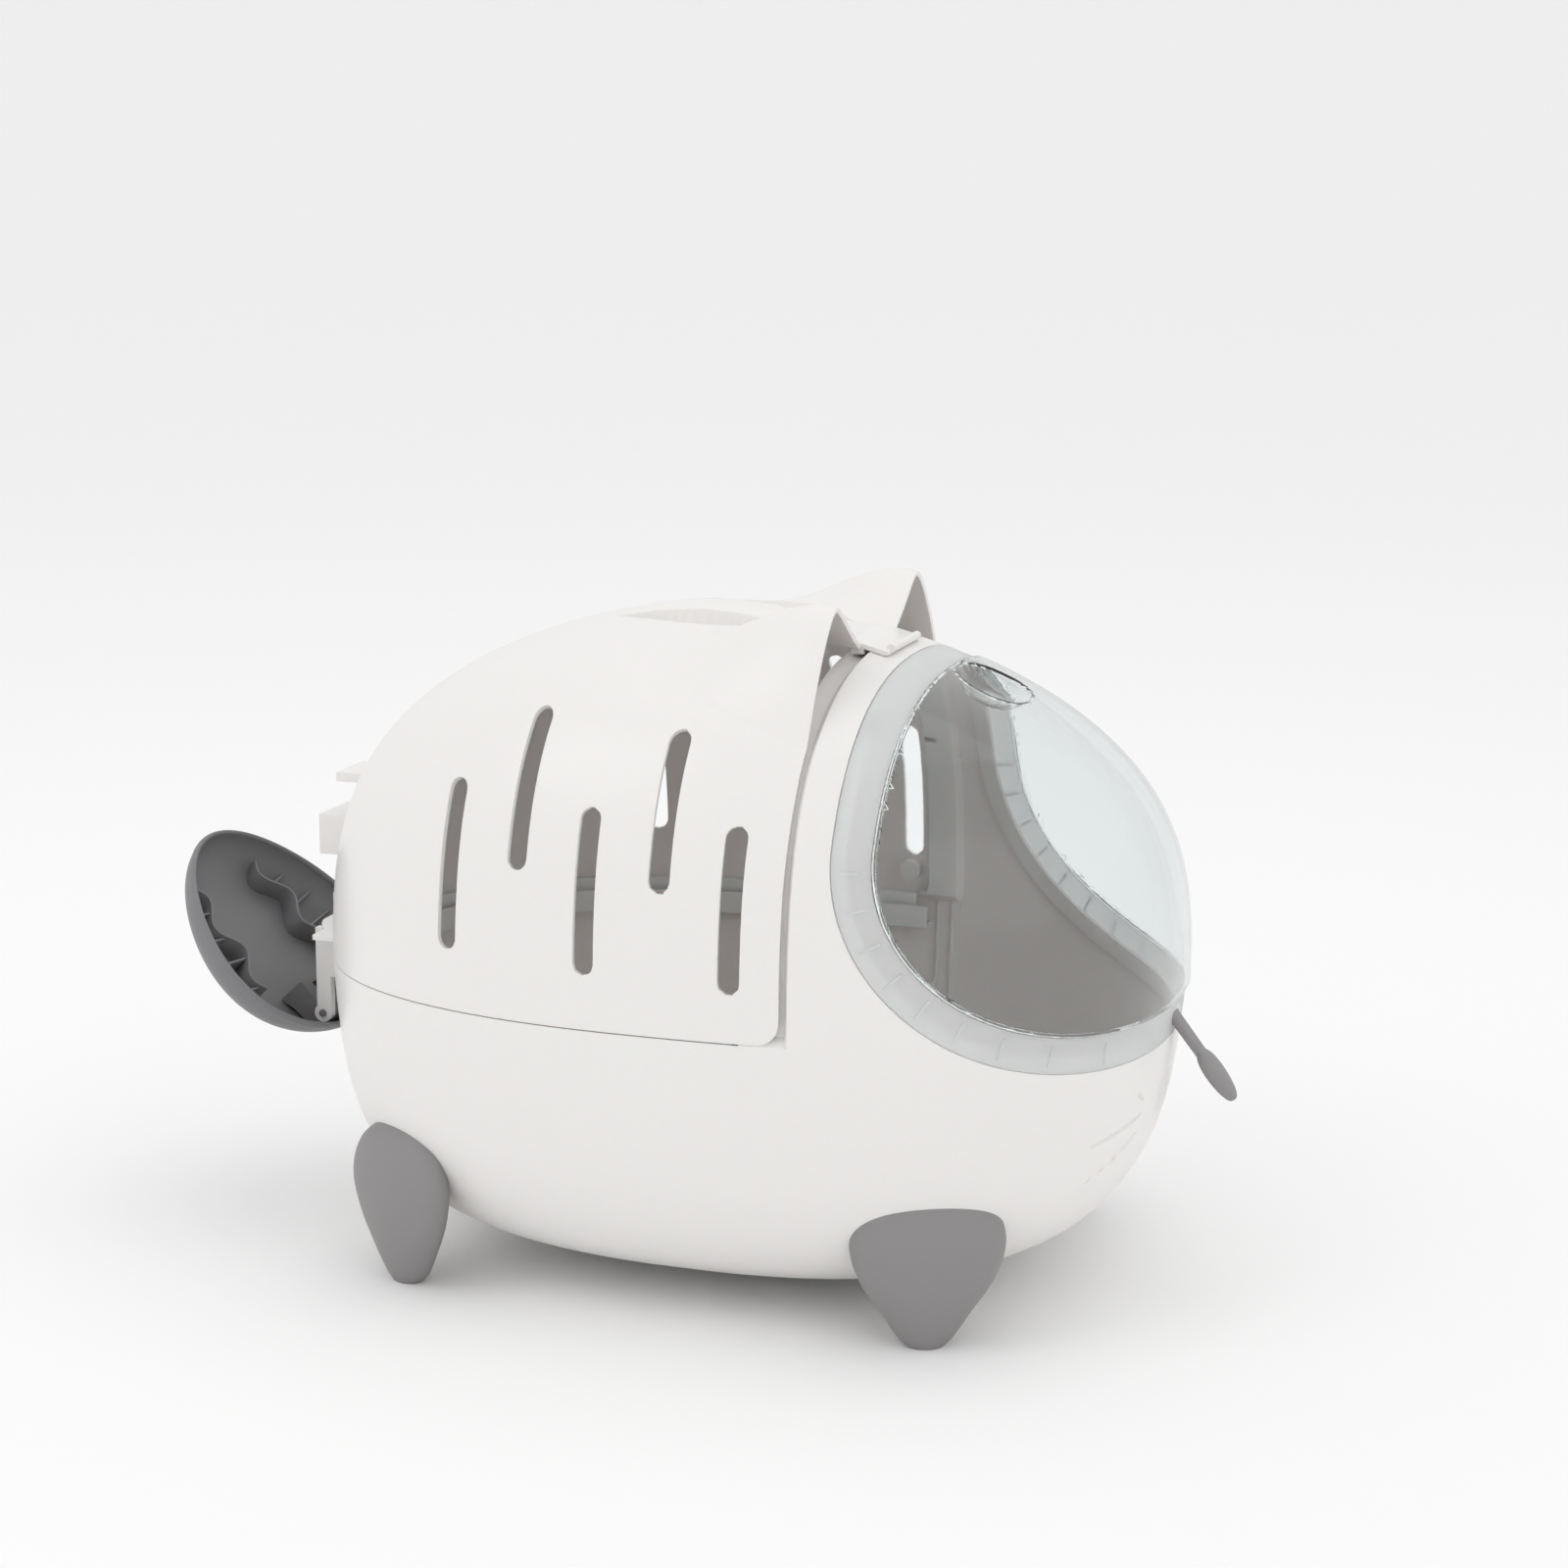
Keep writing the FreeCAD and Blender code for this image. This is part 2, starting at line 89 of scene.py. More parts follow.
@dataclass(frozen=True)
class Finish:
    """A real material: its name, colour and surface.

    Args:
        name: the real material.
        colour: sRGB hex.
        surface: kind of finish.
        roughness: mean roughness.
        grain_mm: size of the fine moulding texture.
        relief_mm: depth of that texture.
    """

    name: str
    colour: str
    surface: Surface
    roughness: float
    grain_mm: float = 0.9
    relief_mm: float = 0.02


WHITE_PP = Finish("polypropylene_white_satin", "#EFEDEB", Surface.SATIN, 0.33, 1.1, 0.012)
GREY_PP = Finish("polypropylene_grey_grained", "#8D8B8B", Surface.GRAINED, 0.52, 0.6, 0.035)
DARK_PP = Finish("polypropylene_dark_grey", "#7B7B7D", Surface.GRAINED, 0.5, 0.7, 0.03)
CLEAR_PS = Finish("polystyrene_clear", "#F7FAFA", Surface.CLEAR, 0.03, 6.0, 0.012)
FROST_PS = Finish("polystyrene_frosted", "#FBFCFC", Surface.FROSTED, 0.5, 0.5, 0.03)


class NodeBuilder:
    """Adds shader nodes and links them in one call."""

    def __init__(self, tree: bpy.types.NodeTree) -> None:
        """Work on one node tree."""
        self.tree = tree

    def add(self, kind: str, **values: object) -> bpy.types.Node:
        """Add a node.

        Args:
            kind: bl_idname of the node.
            **values: socket name with _ for a space, set to a constant or linked from a socket.
        Returns:
            The node.
        """
        node = self.tree.nodes.new(kind)
        for key, value in values.items():
            if hasattr(node, key) and key.islower() and key not in node.inputs:
                setattr(node, key, value)
                continue
            socket = node.inputs[key.replace("_", " ")]
            if isinstance(value, bpy.types.NodeSocket):
                self.tree.links.new(value, socket)
            else:
                socket.default_value = value
        return node


class MaterialShop:
    """Makes each finish once and keeps it."""

    SOCKETS = {
        Surface.SATIN: {"Subsurface_Weight": 0.12, "Subsurface_Scale": 0.004, "Coat_Weight": 0.15,
                        "Coat_Roughness": 0.18, "IOR": 1.49},
        Surface.GRAINED: {"IOR": 1.49},
        Surface.CLEAR: {"Transmission_Weight": 1.0, "IOR": 1.35},
        Surface.FROSTED: {"Transmission_Weight": 0.6, "IOR": 1.4},
    }
    ROUGHNESS_DRIFT = (0.88, 1.12)
    TONE_DRIFT = 0.985

    def __init__(self) -> None:
        """Start with nothing made."""
        self._made: dict[str, bpy.types.Material] = {}

    def get(self, finish: Finish) -> bpy.types.Material:
        """The material for a finish, shared by every piece that uses it."""
        if finish.name not in self._made:
            self._made[finish.name] = self._make(finish)
        return self._made[finish.name]

    def _make(self, finish: Finish) -> bpy.types.Material:
        """Lay fine grain over a slow drift of tone and roughness.

        Args:
            finish: what to make.
        Returns:
            A new material.
        """
        material = bpy.data.materials.new(finish.name)
        material.use_nodes = True
        tree = material.node_tree
        tree.nodes.clear()
        build = NodeBuilder(tree)
        out = build.add("ShaderNodeOutputMaterial")
        place = build.add("ShaderNodeTexCoord").outputs["Object"]
        grain = build.add("ShaderNodeTexNoise", Vector=place, Scale=1000 / finish.grain_mm, Detail=3.0,
                          Roughness=0.6)
        drift = build.add("ShaderNodeTexNoise", Vector=place, Scale=9.0, Detail=2.0, Roughness=0.5)
        bump = build.add("ShaderNodeBump", Strength=0.6, Distance=finish.relief_mm * MM,
                         Height=grain.outputs["Fac"])
        low, high = (finish.roughness * share for share in self.ROUGHNESS_DRIFT)
        rough = build.add("ShaderNodeMapRange", Value=drift.outputs["Fac"], To_Min=low, To_Max=high)
        base = linear(finish.colour)
        tone = build.add("ShaderNodeMix", data_type="RGBA", Factor=drift.outputs["Fac"])
        dark, light = (socket for socket in tone.inputs if socket.type == "RGBA")
        dark.default_value = tuple(c * self.TONE_DRIFT for c in base[:3]) + (1.0,)
        light.default_value = base
        mixed = next(socket for socket in tone.outputs if socket.type == "RGBA")
        shader = build.add("ShaderNodeBsdfPrincipled", Base_Color=mixed, Roughness=rough.outputs["Result"],
                           Normal=bump.outputs["Normal"], **self.SOCKETS[finish.surface])
        seen = shader.outputs["BSDF"]
        if finish.surface in (Surface.CLEAR, Surface.FROSTED):
            path = build.add("ShaderNodeLightPath")
            through = build.add("ShaderNodeBsdfTransparent", Color=linear("#FBFCFC"))
            mix = build.add("ShaderNodeMixShader", Fac=path.outputs["Is Shadow Ray"])
            tree.links.new(seen, mix.inputs[1])
            tree.links.new(through.outputs["BSDF"], mix.inputs[2])
            seen = mix.outputs["Shader"]
        tree.links.new(seen, out.inputs["Surface"])
        return material


# ---- the body form
def signed_power(value: np.ndarray, power: np.ndarray | float) -> np.ndarray:
    """A power that keeps the sign, as superellipses need."""
    return np.sign(value) * np.abs(value) ** power


@dataclass(frozen=True)
class BodyForm:
    """The egg-like form that tub, cowl, hood and visor share.

    Args:
        shift: slide of the whole object along X.
        half_length: half length at the rim.
        half_width: half width at the rim.
        rim: height of the rim.
        crown: height of the roof.
        under: height of the underside.
    """

    shift: float = 42.93
    half_length: float = 267.0
    half_width: float = 195.0
    rim: float = 187.0
    crown: float = 408.0
    under: float = 12.0

    def section(self, share: np.ndarray, inset: np.ndarray | float) -> tuple[np.ndarray, ...]:
        """The superellipse of a level.

        Args:
            share: the level.
            inset: how far inside the outer face.
        Returns:
            Half length, half width, middle, roundness and height.
        """
        up = np.clip(share, 0, 1)
        down = np.clip(-share, 0, 1)
        cube = up ** 3
        size = (1 - 0.05 * down) * (1 - down ** 3.6) ** (1 / 3.8)
        long_side = (self.half_length - inset) * np.where(share >= 0, (1 - cube) ** 0.6, size)
        wide_side = (self.half_width - inset) * np.where(share >= 0, (1 - cube) ** 0.45, size)
        middle = np.where(share >= 0, -2 - 28 * cube, -4 + 2 * (1 - down))
        power = np.where(share >= 0, 2.4 - 0.25 * up, 2.4)
        height = self.rim + np.where(share >= 0, (self.crown - inset - self.rim) * up,
                                     -(self.rim - self.under - inset) * down)
        return long_side, wide_side, middle, power, height

    def point(self, share: np.ndarray, angle: np.ndarray, inset: np.ndarray | float = 0.0) -> np.ndarray:
        """Points on the form.

        Args:
            share: -1 at the underside, 0 at the rim, 1 at the roof.
            angle: turn about Z from the front.
            inset: how far inside the outer face.
        Returns:
            One row of X, Y, Z for each.
        """
        long_side, wide_side, middle, power, height = self.section(share, inset)
        c, s = np.cos(angle), np.sin(angle)
        x = middle + long_side * signed_power(c, 2 / power)
        return np.stack([x, wide_side * signed_power(s, 2 / power), height], axis=-1)

    def share_at(self, height: np.ndarray | float) -> np.ndarray:
        """The share whose level is at a height."""
        height = np.asarray(height, dtype=float)
        return np.where(height >= self.rim, (height - self.rim) / (self.crown - self.rim),
                        (height - self.rim) / (self.rim - self.under))

    def outside(self, points: np.ndarray) -> np.ndarray:
        """Above 0 outside the form, below 0 inside."""
        share = self.share_at(np.clip(points[:, 2], self.under + 0.01, self.crown - 0.01))
        long_side, wide_side, middle, power, _ = self.section(share, 0.0)
        value = (np.abs((points[:, 0] - middle) / long_side) ** power
                 + np.abs(points[:, 1] / wide_side) ** power) ** (1 / power) - 1
        return np.where(points[:, 2] < self.under, 1.0, value * 150)

    def angle_at(self, x: float, share: float) -> float:
        """The turn about Z at which a level reaches an X."""
        long_side, _, middle, power, _ = self.section(np.asarray(share), 0.0)
        ratio = np.clip((x - middle) / long_side, -1, 1)
        return float(math.acos(signed_power(ratio, power / 2)))

    def metres(self, points: np.ndarray | Sequence[float]) -> np.ndarray:
        """This script's millimetres as the frame's metres."""
        return (np.asarray(points, dtype=float) + [self.shift, 0.0, 0.0]) * MM


FORM = BodyForm()


def smooth(value: np.ndarray) -> np.ndarray:
    """0 below 0, 1 above 1, with a soft turn between."""
    t = np.clip(value, 0, 1)
    return t * t * (3 - 2 * t)


@dataclass(frozen=True)
class Seam:
    """The line between cowl and visor, seen from the side: straight ends joined by a quarter ellipse.

    Args:
        x: middle of the ellipse along the object.
        z: middle of the ellipse in height.
        rear: X of the upright end.
        low: height of the level end.
    """

    x: float = 258.0
    z: float = 300.0
    rear: float = 100.0
    low: float = 163.0

    def __call__(self, points: np.ndarray) -> np.ndarray:
        """How far points lie in front of the seam."""
        x, z = points[:, 0], points[:, 2]
        dx, dz = np.maximum(self.x - x, 1e-6), np.maximum(self.z - z, 1e-6)
        ratio = np.hypot(dx / (self.x - self.rear), dz / (self.z - self.low))
        curved = np.hypot(dx, dz) * (1 / ratio - 1)
        return np.where(z >= self.z,
                        np.where(x < self.x, x - self.rear, np.minimum(x - self.rear, z - self.low)),
                        np.where(x >= self.x, z - self.low, curved))


seam = Seam()


# ---- patches
class Patch:
    """A grid on a surface that can be scored along lines and trimmed before it becomes a mesh."""

    MERGE = 2.2e-4

    def __init__(self, place: Field, rows: Sequence[float], columns: Sequence[float]) -> None:
        """Lay a grid of rows and columns; place turns a row and a column into a point."""
        self.place = place
        grid_r, grid_c = np.meshgrid(rows, columns, indexing="ij")
        self.uv = np.stack([grid_r.ravel(), grid_c.ravel()], axis=-1)
        wide = len(columns)
        self.faces = [[r * wide + c, r * wide + c + 1, (r + 1) * wide + c + 1, (r + 1) * wide + c]
                      for r in range(len(rows) - 1) for c in range(wide - 1)]

    def score(self, line: Field) -> Patch:
        """Split faces where line is 0, keeping both sides."""
        value = line(self.place(self.uv))
        value[np.abs(value) < 1e-5] = 0.0
        sign = np.sign(value).astype(int)
        edges: dict[tuple[int, int], int] = {}
        for face in self.faces:
            for a, b in zip(face, face[1:] + face[:1]):
                if sign[a] * sign[b] < 0:
                    edges.setdefault((min(a, b), max(a, b)), len(edges))
        if not edges:
            return self
        pairs = np.array(list(edges), dtype=int)
        low, high = self.uv[pairs[:, 0]], self.uv[pairs[:, 1]]
        f_low, f_high = value[pairs[:, 0]], value[pairs[:, 1]]
        for _ in range(4):
            t = (f_low / (f_low - f_high))[:, None]
            middle = low + (high - low) * np.clip(t, 0.02, 0.98)
            f_mid = line(self.place(middle))
            same = np.sign(f_mid) == np.sign(f_low)
            low, f_low = np.where(same[:, None], middle, low), np.where(same, f_mid, f_low)
            high, f_high = np.where(same[:, None], high, middle), np.where(same, f_high, f_mid)
        start = len(self.uv)
        self.uv = np.concatenate([self.uv, middle])
        result = []
        for face in self.faces:
            signs = [sign[i] for i in face]
            if not min(signs) < 0 < max(signs):
                result.append(face)
                continue
            above, below = [], []
            for a, b in zip(face, face[1:] + face[:1]):
                if sign[a] >= 0:
                    above.append(a)
                if sign[a] <= 0:
                    below.append(a)
                if sign[a] * sign[b] < 0:
                    new = start + edges[(min(a, b), max(a, b))]
                    above.append(new)
                    below.append(new)
            result.extend(part for part in (above, below) if len(part) > 2)
        self.faces = result
        return self

    def keep(self, line: Field) -> Patch:
        """Score along line and drop the faces where it is below 0."""
        self.score(line)
        points = self.place(self.uv)
        centres = np.array([points[face].mean(axis=0) for face in self.faces])
        good = line(centres) > 0
        self.faces = [face for face, ok in zip(self.faces, good) if ok]
        return self

    def mesh(self, name: str, move: Field | None = None) -> bpy.types.Mesh:
        """The patch as a Blender mesh in metres.

        Args:
            name: mesh name.
            move: last change of the points, in millimetres.
        Returns:
            The mesh, with doubled points merged.
        """
        used = sorted({i for face in self.faces for i in face})
        index = {old: new for new, old in enumerate(used)}
        uv = self.uv[used]
        points = self.place(uv)
        if move is not None:
            points = move(points)
        data = bpy.data.meshes.new(name)
        data.from_pydata(FORM.metres(points).tolist(), [],
                         [[index[i] for i in face] for face in self.faces])
        work = bmesh.new()
        work.from_mesh(data)
        bmesh.ops.remove_doubles(work, verts=work.verts, dist=self.MERGE)
        bmesh.ops.dissolve_degenerate(work, dist=1e-5, edges=work.edges)
        bmesh.ops.recalc_face_normals(work, faces=work.faces)
        work.to_mesh(data)
        work.free()
        return data


@dataclass(frozen=True)
class Shell:
    """How a sheet becomes a moulded wall.

    Args:
        wall: thickness in millimetres.
        side: -1 grows against the normals, 1 along them, 0 both ways.
        edge: radius of the rounded edges in millimetres.
    """

    wall: float
    side: float
    edge: float


def add_object(name: str, data: bpy.types.ID) -> bpy.types.Object:
    """A new object in the scene."""
    item = bpy.data.objects.new(name, data)
    bpy.context.scene.collection.objects.link(item)
    return item


def add_bevel(item: bpy.types.Object, radius: float, segments: int, degrees: float) -> bpy.types.Modifier:
    """Round the edges sharper than an angle.

    Args:
        item: the piece.
        radius: size of the round in millimetres.
        segments: steps in the round.
        degrees: the angle.
    Returns:
        The modifier.
    """
    bevel = item.modifiers.new("edge", "BEVEL")
    bevel.width = radius * MM
    bevel.segments = segments
    bevel.limit_method = "ANGLE"
    bevel.angle_limit = math.radians(degrees)
    return bevel


def mould(name: str, patch: Patch, material: bpy.types.Material, body: str, shell: Shell | None = None,
          inside: Sequence[float] | None = None, move: Field | None = None) -> bpy.types.Object:
    """Turn a patch into a shaded piece that rides on a body.

    Args:
        name: piece name.
        patch: sheet or closed skin.
        material: its finish.
        body: the body it moves with.
        shell: wall and edge, or None for a closed skin.
        inside: a point in metres that the normals have to face away from.
        move: last change of the points, in millimetres.
    Returns:
        The finished object with no modifiers left.
    """
    mesh = patch.mesh(name, move)
    if inside is not None:
        middle = Vector(inside)
        total = sum((poly.center - middle).dot(poly.normal) * poly.area for poly in mesh.polygons)
        if total < 0:
            mesh.flip_normals()
    item = add_object(name, mesh)
    mesh.materials.append(material)
    if shell is not None:
        thick = item.modifiers.new("wall", "SOLIDIFY")
        thick.thickness = shell.wall * MM
        thick.offset = shell.side
        thick.use_even_offset = True
        thick.thickness_clamp = 0.0
        if shell.edge:
            add_bevel(item, shell.edge, 2, 50).miter_outer = "MITER_ARC"
    bake(item)
    shade(item)
    ride(item, body)
    return item


def ride(item: bpy.types.Object, body: str) -> None:
    """Let a piece move with a body and say so."""
    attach(item, body)
    LOG.info("%s: %d faces, on %s", item.name, len(item.data.polygons), body)


def bake(item: bpy.types.Object) -> None:
    """Swap an object's mesh for its evaluated mesh and drop the modifiers."""
    graph = bpy.context.evaluated_depsgraph_get()
    graph.update()
    data = bpy.data.meshes.new_from_object(item.evaluated_get(graph), depsgraph=graph)
    old = item.data
    item.modifiers.clear()
    item.data = data
    data.name = item.name
    if old.users == 0:
        bpy.data.meshes.remove(old)


def shade(item: bpy.types.Object) -> None:
    """Smooth shading that breaks at edges sharper than SHARP degrees."""
    mesh = item.data
    mesh.polygons.foreach_set("use_smooth", [True] * len(mesh.polygons))
    work = bmesh.new()
    work.from_mesh(mesh)
    limit = math.radians(SHARP)
    for edge in work.edges:
        edge.smooth = not (len(edge.link_faces) == 2 and edge.calc_face_angle(0.0) > limit)
    work.to_mesh(mesh)
    work.free()


# ---- repeated parts
class Repeater:
    """Geometry Nodes that copy one block to many places."""

    def __init__(self, name: str, material: bpy.types.Material) -> None:
        """Build the node group for blocks of one material."""
        self.group = bpy.data.node_groups.new(name, "GeometryNodeTree")
        face = self.group.interface
        face.new_socket("Places", in_out="INPUT", socket_type="NodeSocketGeometry")
        self.size = face.new_socket("Block size", in_out="INPUT", socket_type="NodeSocketVector")
        face.new_socket("Blocks", in_out="OUTPUT", socket_type="NodeSocketGeometry")
        build = NodeBuilder(self.group)
        entry = build.add("NodeGroupInput")
        leave = build.add("NodeGroupOutput")
        block = build.add("GeometryNodeMeshCube", Size=entry.outputs["Block size"])
        turn = build.add("GeometryNodeInputNamedAttribute", data_type="FLOAT_VECTOR", Name="turn")
        spread = build.add("GeometryNodeInstanceOnPoints", Points=entry.outputs["Places"],
                           Instance=block.outputs["Mesh"])
        self.group.links.new(turn.outputs["Attribute"], spread.inputs["Rotation"])
        real = build.add("GeometryNodeRealizeInstances", Geometry=spread.outputs["Instances"])
        paint = build.add("GeometryNodeSetMaterial", Geometry=real.outputs["Geometry"], Material=material)
        self.group.links.new(paint.outputs["Geometry"], leave.inputs["Blocks"])

    def copy(self, name: str, places: Sequence[Vector], turns: Sequence[Sequence[float]],
             size: Sequence[float], body: str) -> None:
        """Put blocks at places, as one baked piece.

        Args:
            name: piece name.
            places: centres in millimetres.
            turns: Euler angles.
            size: block size in millimetres.
            body: the body they ride on.
        """
        mesh = bpy.data.meshes.new(name)
        mesh.from_pydata(FORM.metres(places).tolist(), [], [])
        slot = mesh.attributes.new("turn", "FLOAT_VECTOR", "POINT")
        for i, turn in enumerate(turns):
            slot.data[i].vector = turn
        item = add_object(name, mesh)
        work = item.modifiers.new("copies", "NODES")
        work.node_group = self.group
        work[self.size.identifier] = [v * MM for v in size]
        bake(item)
        add_bevel(item, 0.25, 1, 30)
        bake(item)
        shade(item)
        ride(item, body)


# ---- sub-assemblies
def full_turn(count: int) -> np.ndarray:
    """Angles once round."""
    return np.linspace(0, 2 * math.pi, count + 1)


def form_patch(rows: np.ndarray, columns: np.ndarray) -> Patch:
    """A patch on the body form."""
    return Patch(lambda uv: FORM.point(uv[:, 0], uv[:, 1]), rows, columns)


def upper_rows(start: float, steps: int) -> np.ndarray:
    """Levels from a share up to the roof, closer together near the top."""
    t = np.linspace(0, 1, steps)
    return start + (1 - start) * (1 - (1 - t) ** 1.7)


def lower_rows(steps: int) -> np.ndarray:
    """Levels from the underside to the rim, closer together at the bottom."""
    t = np.linspace(0, 1, steps)
    return -(1 - t ** 2.4)


def sweep(profile: Sequence[tuple[float, float]], count: int = 300) -> Patch:
    """A strip that follows the rim; profile lists inset and height."""
    steps = np.arange(len(profile))

    def place(uv: np.ndarray) -> np.ndarray:
        """Points of the patch."""
        inset, height = (np.interp(uv[:, 0], steps, values) for values in zip(*profile))
        points = FORM.point(FORM.share_at(height), uv[:, 1], inset)
        points[:, 2] = height
        return points

    return Patch(place, steps, full_turn(count))


def inner_rib(name: str, x: float, low: float, high: float, insets: tuple[float, float], body: str,
              material: bpy.types.Material) -> None:
    """Make a thin upright rib on the inner face of a shell, on both sides.

    Args:
        name: piece name.
        x: place along the object.
        low: lower end.
        high: upper end.
        insets: outer and inner inset.
        body: the body it moves with.
        material: its finish.
    """
    for word, side in SIDES.items():
        def place(uv: np.ndarray, side: int = side) -> np.ndarray:
            """Points of the patch."""
            inset = insets[0] + (insets[1] - insets[0]) * uv[:, 0]
            long_side, wide_side, middle, power, _ = FORM.section(FORM.share_at(uv[:, 1]), inset)
            y = wide_side * np.maximum(1 - np.abs((x - middle) / long_side) ** power, 0) ** (1 / power)
            return np.stack([np.full(len(y), x), side * y, uv[:, 1]], -1)

        patch = Patch(place, np.linspace(0, 1, 3), np.linspace(low, high, 60))
        mould("%s_%s" % (name, word), patch, material, body, Shell(1.8, 0, 0.4))


@dataclass
class Tub:
    """The tub with its face cowl: one white moulding.

    Args:
        shop: material shop.
        wall: wall thickness.
        back: rear edge of the cowl.
        step: front of the strip that the hood laps over.
        strip: depth of that strip.
        ledge: depth of the ledge that the visor sits on.
        ledge_width: width of that ledge.
        ledge_run: length of the slope down to it.
        strip_run: length of the slope down to the strip.
        dent: centre of the finger recess.
        dent_radius: its radius.
        whiskers: ends of each engraved line, as across and height.
    """

    shop: MaterialShop
    wall: float = 3.0
    back: float = 60.0
    step: float = 81.0
    strip: float = 6.4
    ledge: float = 3.7
    ledge_width: float = 9.0
    ledge_run: float = 0.7
    strip_run: float = 2.2
    dent: tuple = (293, 0, 118)
    dent_radius: float = 40.0
    whiskers: tuple = ((46, 134, 54, 139), (46, 124, 92, 116), (46, 112, 84, 92))

    def region(self, points: np.ndarray) -> np.ndarray:
        """Above 0 on the tub or on the cowl, with a round inner corner."""
        below = FORM.rim - points[:, 2]
        ahead = points[:, 0] - self.back - 8 * smooth((points[:, 2] - 372) / 3)
        radius = 12.0
        near = (below > -radius) & (ahead > -radius) & (below < 0) & (ahead < 0)
        return np.where(near, np.hypot(below + radius, ahead + radius) - radius, np.maximum(below, ahead))

    @staticmethod
    def sockets(points: np.ndarray) -> np.ndarray:
        """Above 0 outside the hook sockets, the prong sockets and the slit in the strip."""
        x, y, z = points[:, 0], np.abs(points[:, 1]), points[:, 2]
        hook = np.where(y > 60, np.maximum(np.abs(x - 107) - 5.6, np.abs(z - 360) - 7), 30.0)
        prong = np.maximum(np.abs(y - 45) - 9, np.abs(seam(points) - 6) - 5.1)
        slit = np.maximum(np.abs(z - 302) - 1.2, x - 69)
        return np.minimum(np.minimum(hook, slit), np.where((x > 225) & (z < 190), prong, 30.0))

    def depth(self, points: np.ndarray) -> np.ndarray:
        """How far the outer face is set in."""
        ledge = self.ledge * smooth(seam(points) / self.ledge_run)
        strip = smooth((self.step - points[:, 0]) / self.strip_run) * smooth((points[:, 2] - FORM.rim) / 1.6)
        return ledge + self.strip * strip

    def shape(self, points: np.ndarray) -> np.ndarray:
        """Set the ledge, the strip, the finger recess and the whiskers into the face."""
        aim = points - [-4.0, 0.0, 0.0]
        aim[:, 2] -= np.clip(points[:, 2], 90, 300)
        aim[:, 0] *= (FORM.half_width / FORM.half_length) ** 2
        aim /= np.linalg.norm(aim, axis=1)[:, None]
        moved = points - aim * self.depth(points)[:, None]
        ball = self.dent_radius ** 2 - points[:, 1] ** 2 - (points[:, 2] - self.dent[2]) ** 2
        pull = np.where((self.in_dent(points) > 0) & (points[:, 2] < 160), np.sqrt(np.maximum(ball, 0)), 0)
        moved[:, 0] = np.where(pull > 0, np.minimum(moved[:, 0], self.dent[0] - pull), moved[:, 0])
        moved[:, 0] -= 1.9 * (1 - smooth((self.whisker_gap(points) - 0.5) / 1.2))
        return moved

    def whisker_gap(self, points: np.ndarray) -> np.ndarray:
        """Distance to the nearest engraved whisker, seen from the front."""
        gap = np.full(len(points), 50.0)
        spot = np.stack([np.abs(points[:, 1]), points[:, 2]], -1)
        for ends in self.whiskers:
            a, b = np.array(ends).reshape(2, 2)
            t = np.clip(((spot - a) @ (b - a)) / ((b - a) @ (b - a)), 0, 1)
            gap = np.minimum(gap, np.linalg.norm(spot - (a + t[:, None] * (b - a)), axis=1))
        return np.where(points[:, 0] > 100, gap, 50.0)

    def in_dent(self, points: np.ndarray) -> np.ndarray:
        """Above 0 inside the ball that hollows the finger recess."""
        return self.dent_radius - np.linalg.norm(points - np.array(self.dent), axis=1)

    def build(self) -> None:
        """Make the tub, the gutter inside its rim and the upright ribs."""
        white = self.shop.get(WHITE_PP)
        low = lower_rows(62)
        fine = FORM.share_at(np.linspace(107, 143, 22))
        low = np.concatenate([low[low < fine[0] - 0.004], fine, low[low > fine[-1] + 0.004]])
        near = np.radians(np.arange(-29, 29.1, 0.5))
        far = np.linspace(near[-1], 2 * math.pi + near[0], 330)[1:]
        patch = form_patch(np.concatenate([low[:-1], upper_rows(0.0, 74)]), np.concatenate([near, far]))
        patch.keep(self.region).score(seam).score(lambda p: seam(p) - self.ledge_run)
        patch.keep(lambda p: self.ledge_width - seam(p)).keep(self.sockets)
        patch.score(lambda p: self.whisker_gap(p) - 1.7)
        patch.score(lambda p: p[:, 0] - self.step).score(lambda p: p[:, 0] - self.step + self.strip_run)
        patch.score(self.in_dent)
        tub = mould("tub_and_cowl", patch, white, "base", Shell(self.wall, -1, 0.8), (0, 0, 0.2), self.shape)
        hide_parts("base_tub")
        gutter = sweep([(2.0, 169.5), (14.5, 169.5), (14.5, 176), (14.5, 183)])
        gutter.keep(lambda p: self.back - 0.5 - p[:, 0])
        mould("rim_gutter", gutter, white, "base", Shell(2.4, 0, 0.6))
        for k, x in enumerate((65.0, 75.0)):
            inner_rib("tub_channel_%d" % (k + 1), x, 84, 186, (2.8, 6.0), "base", white)


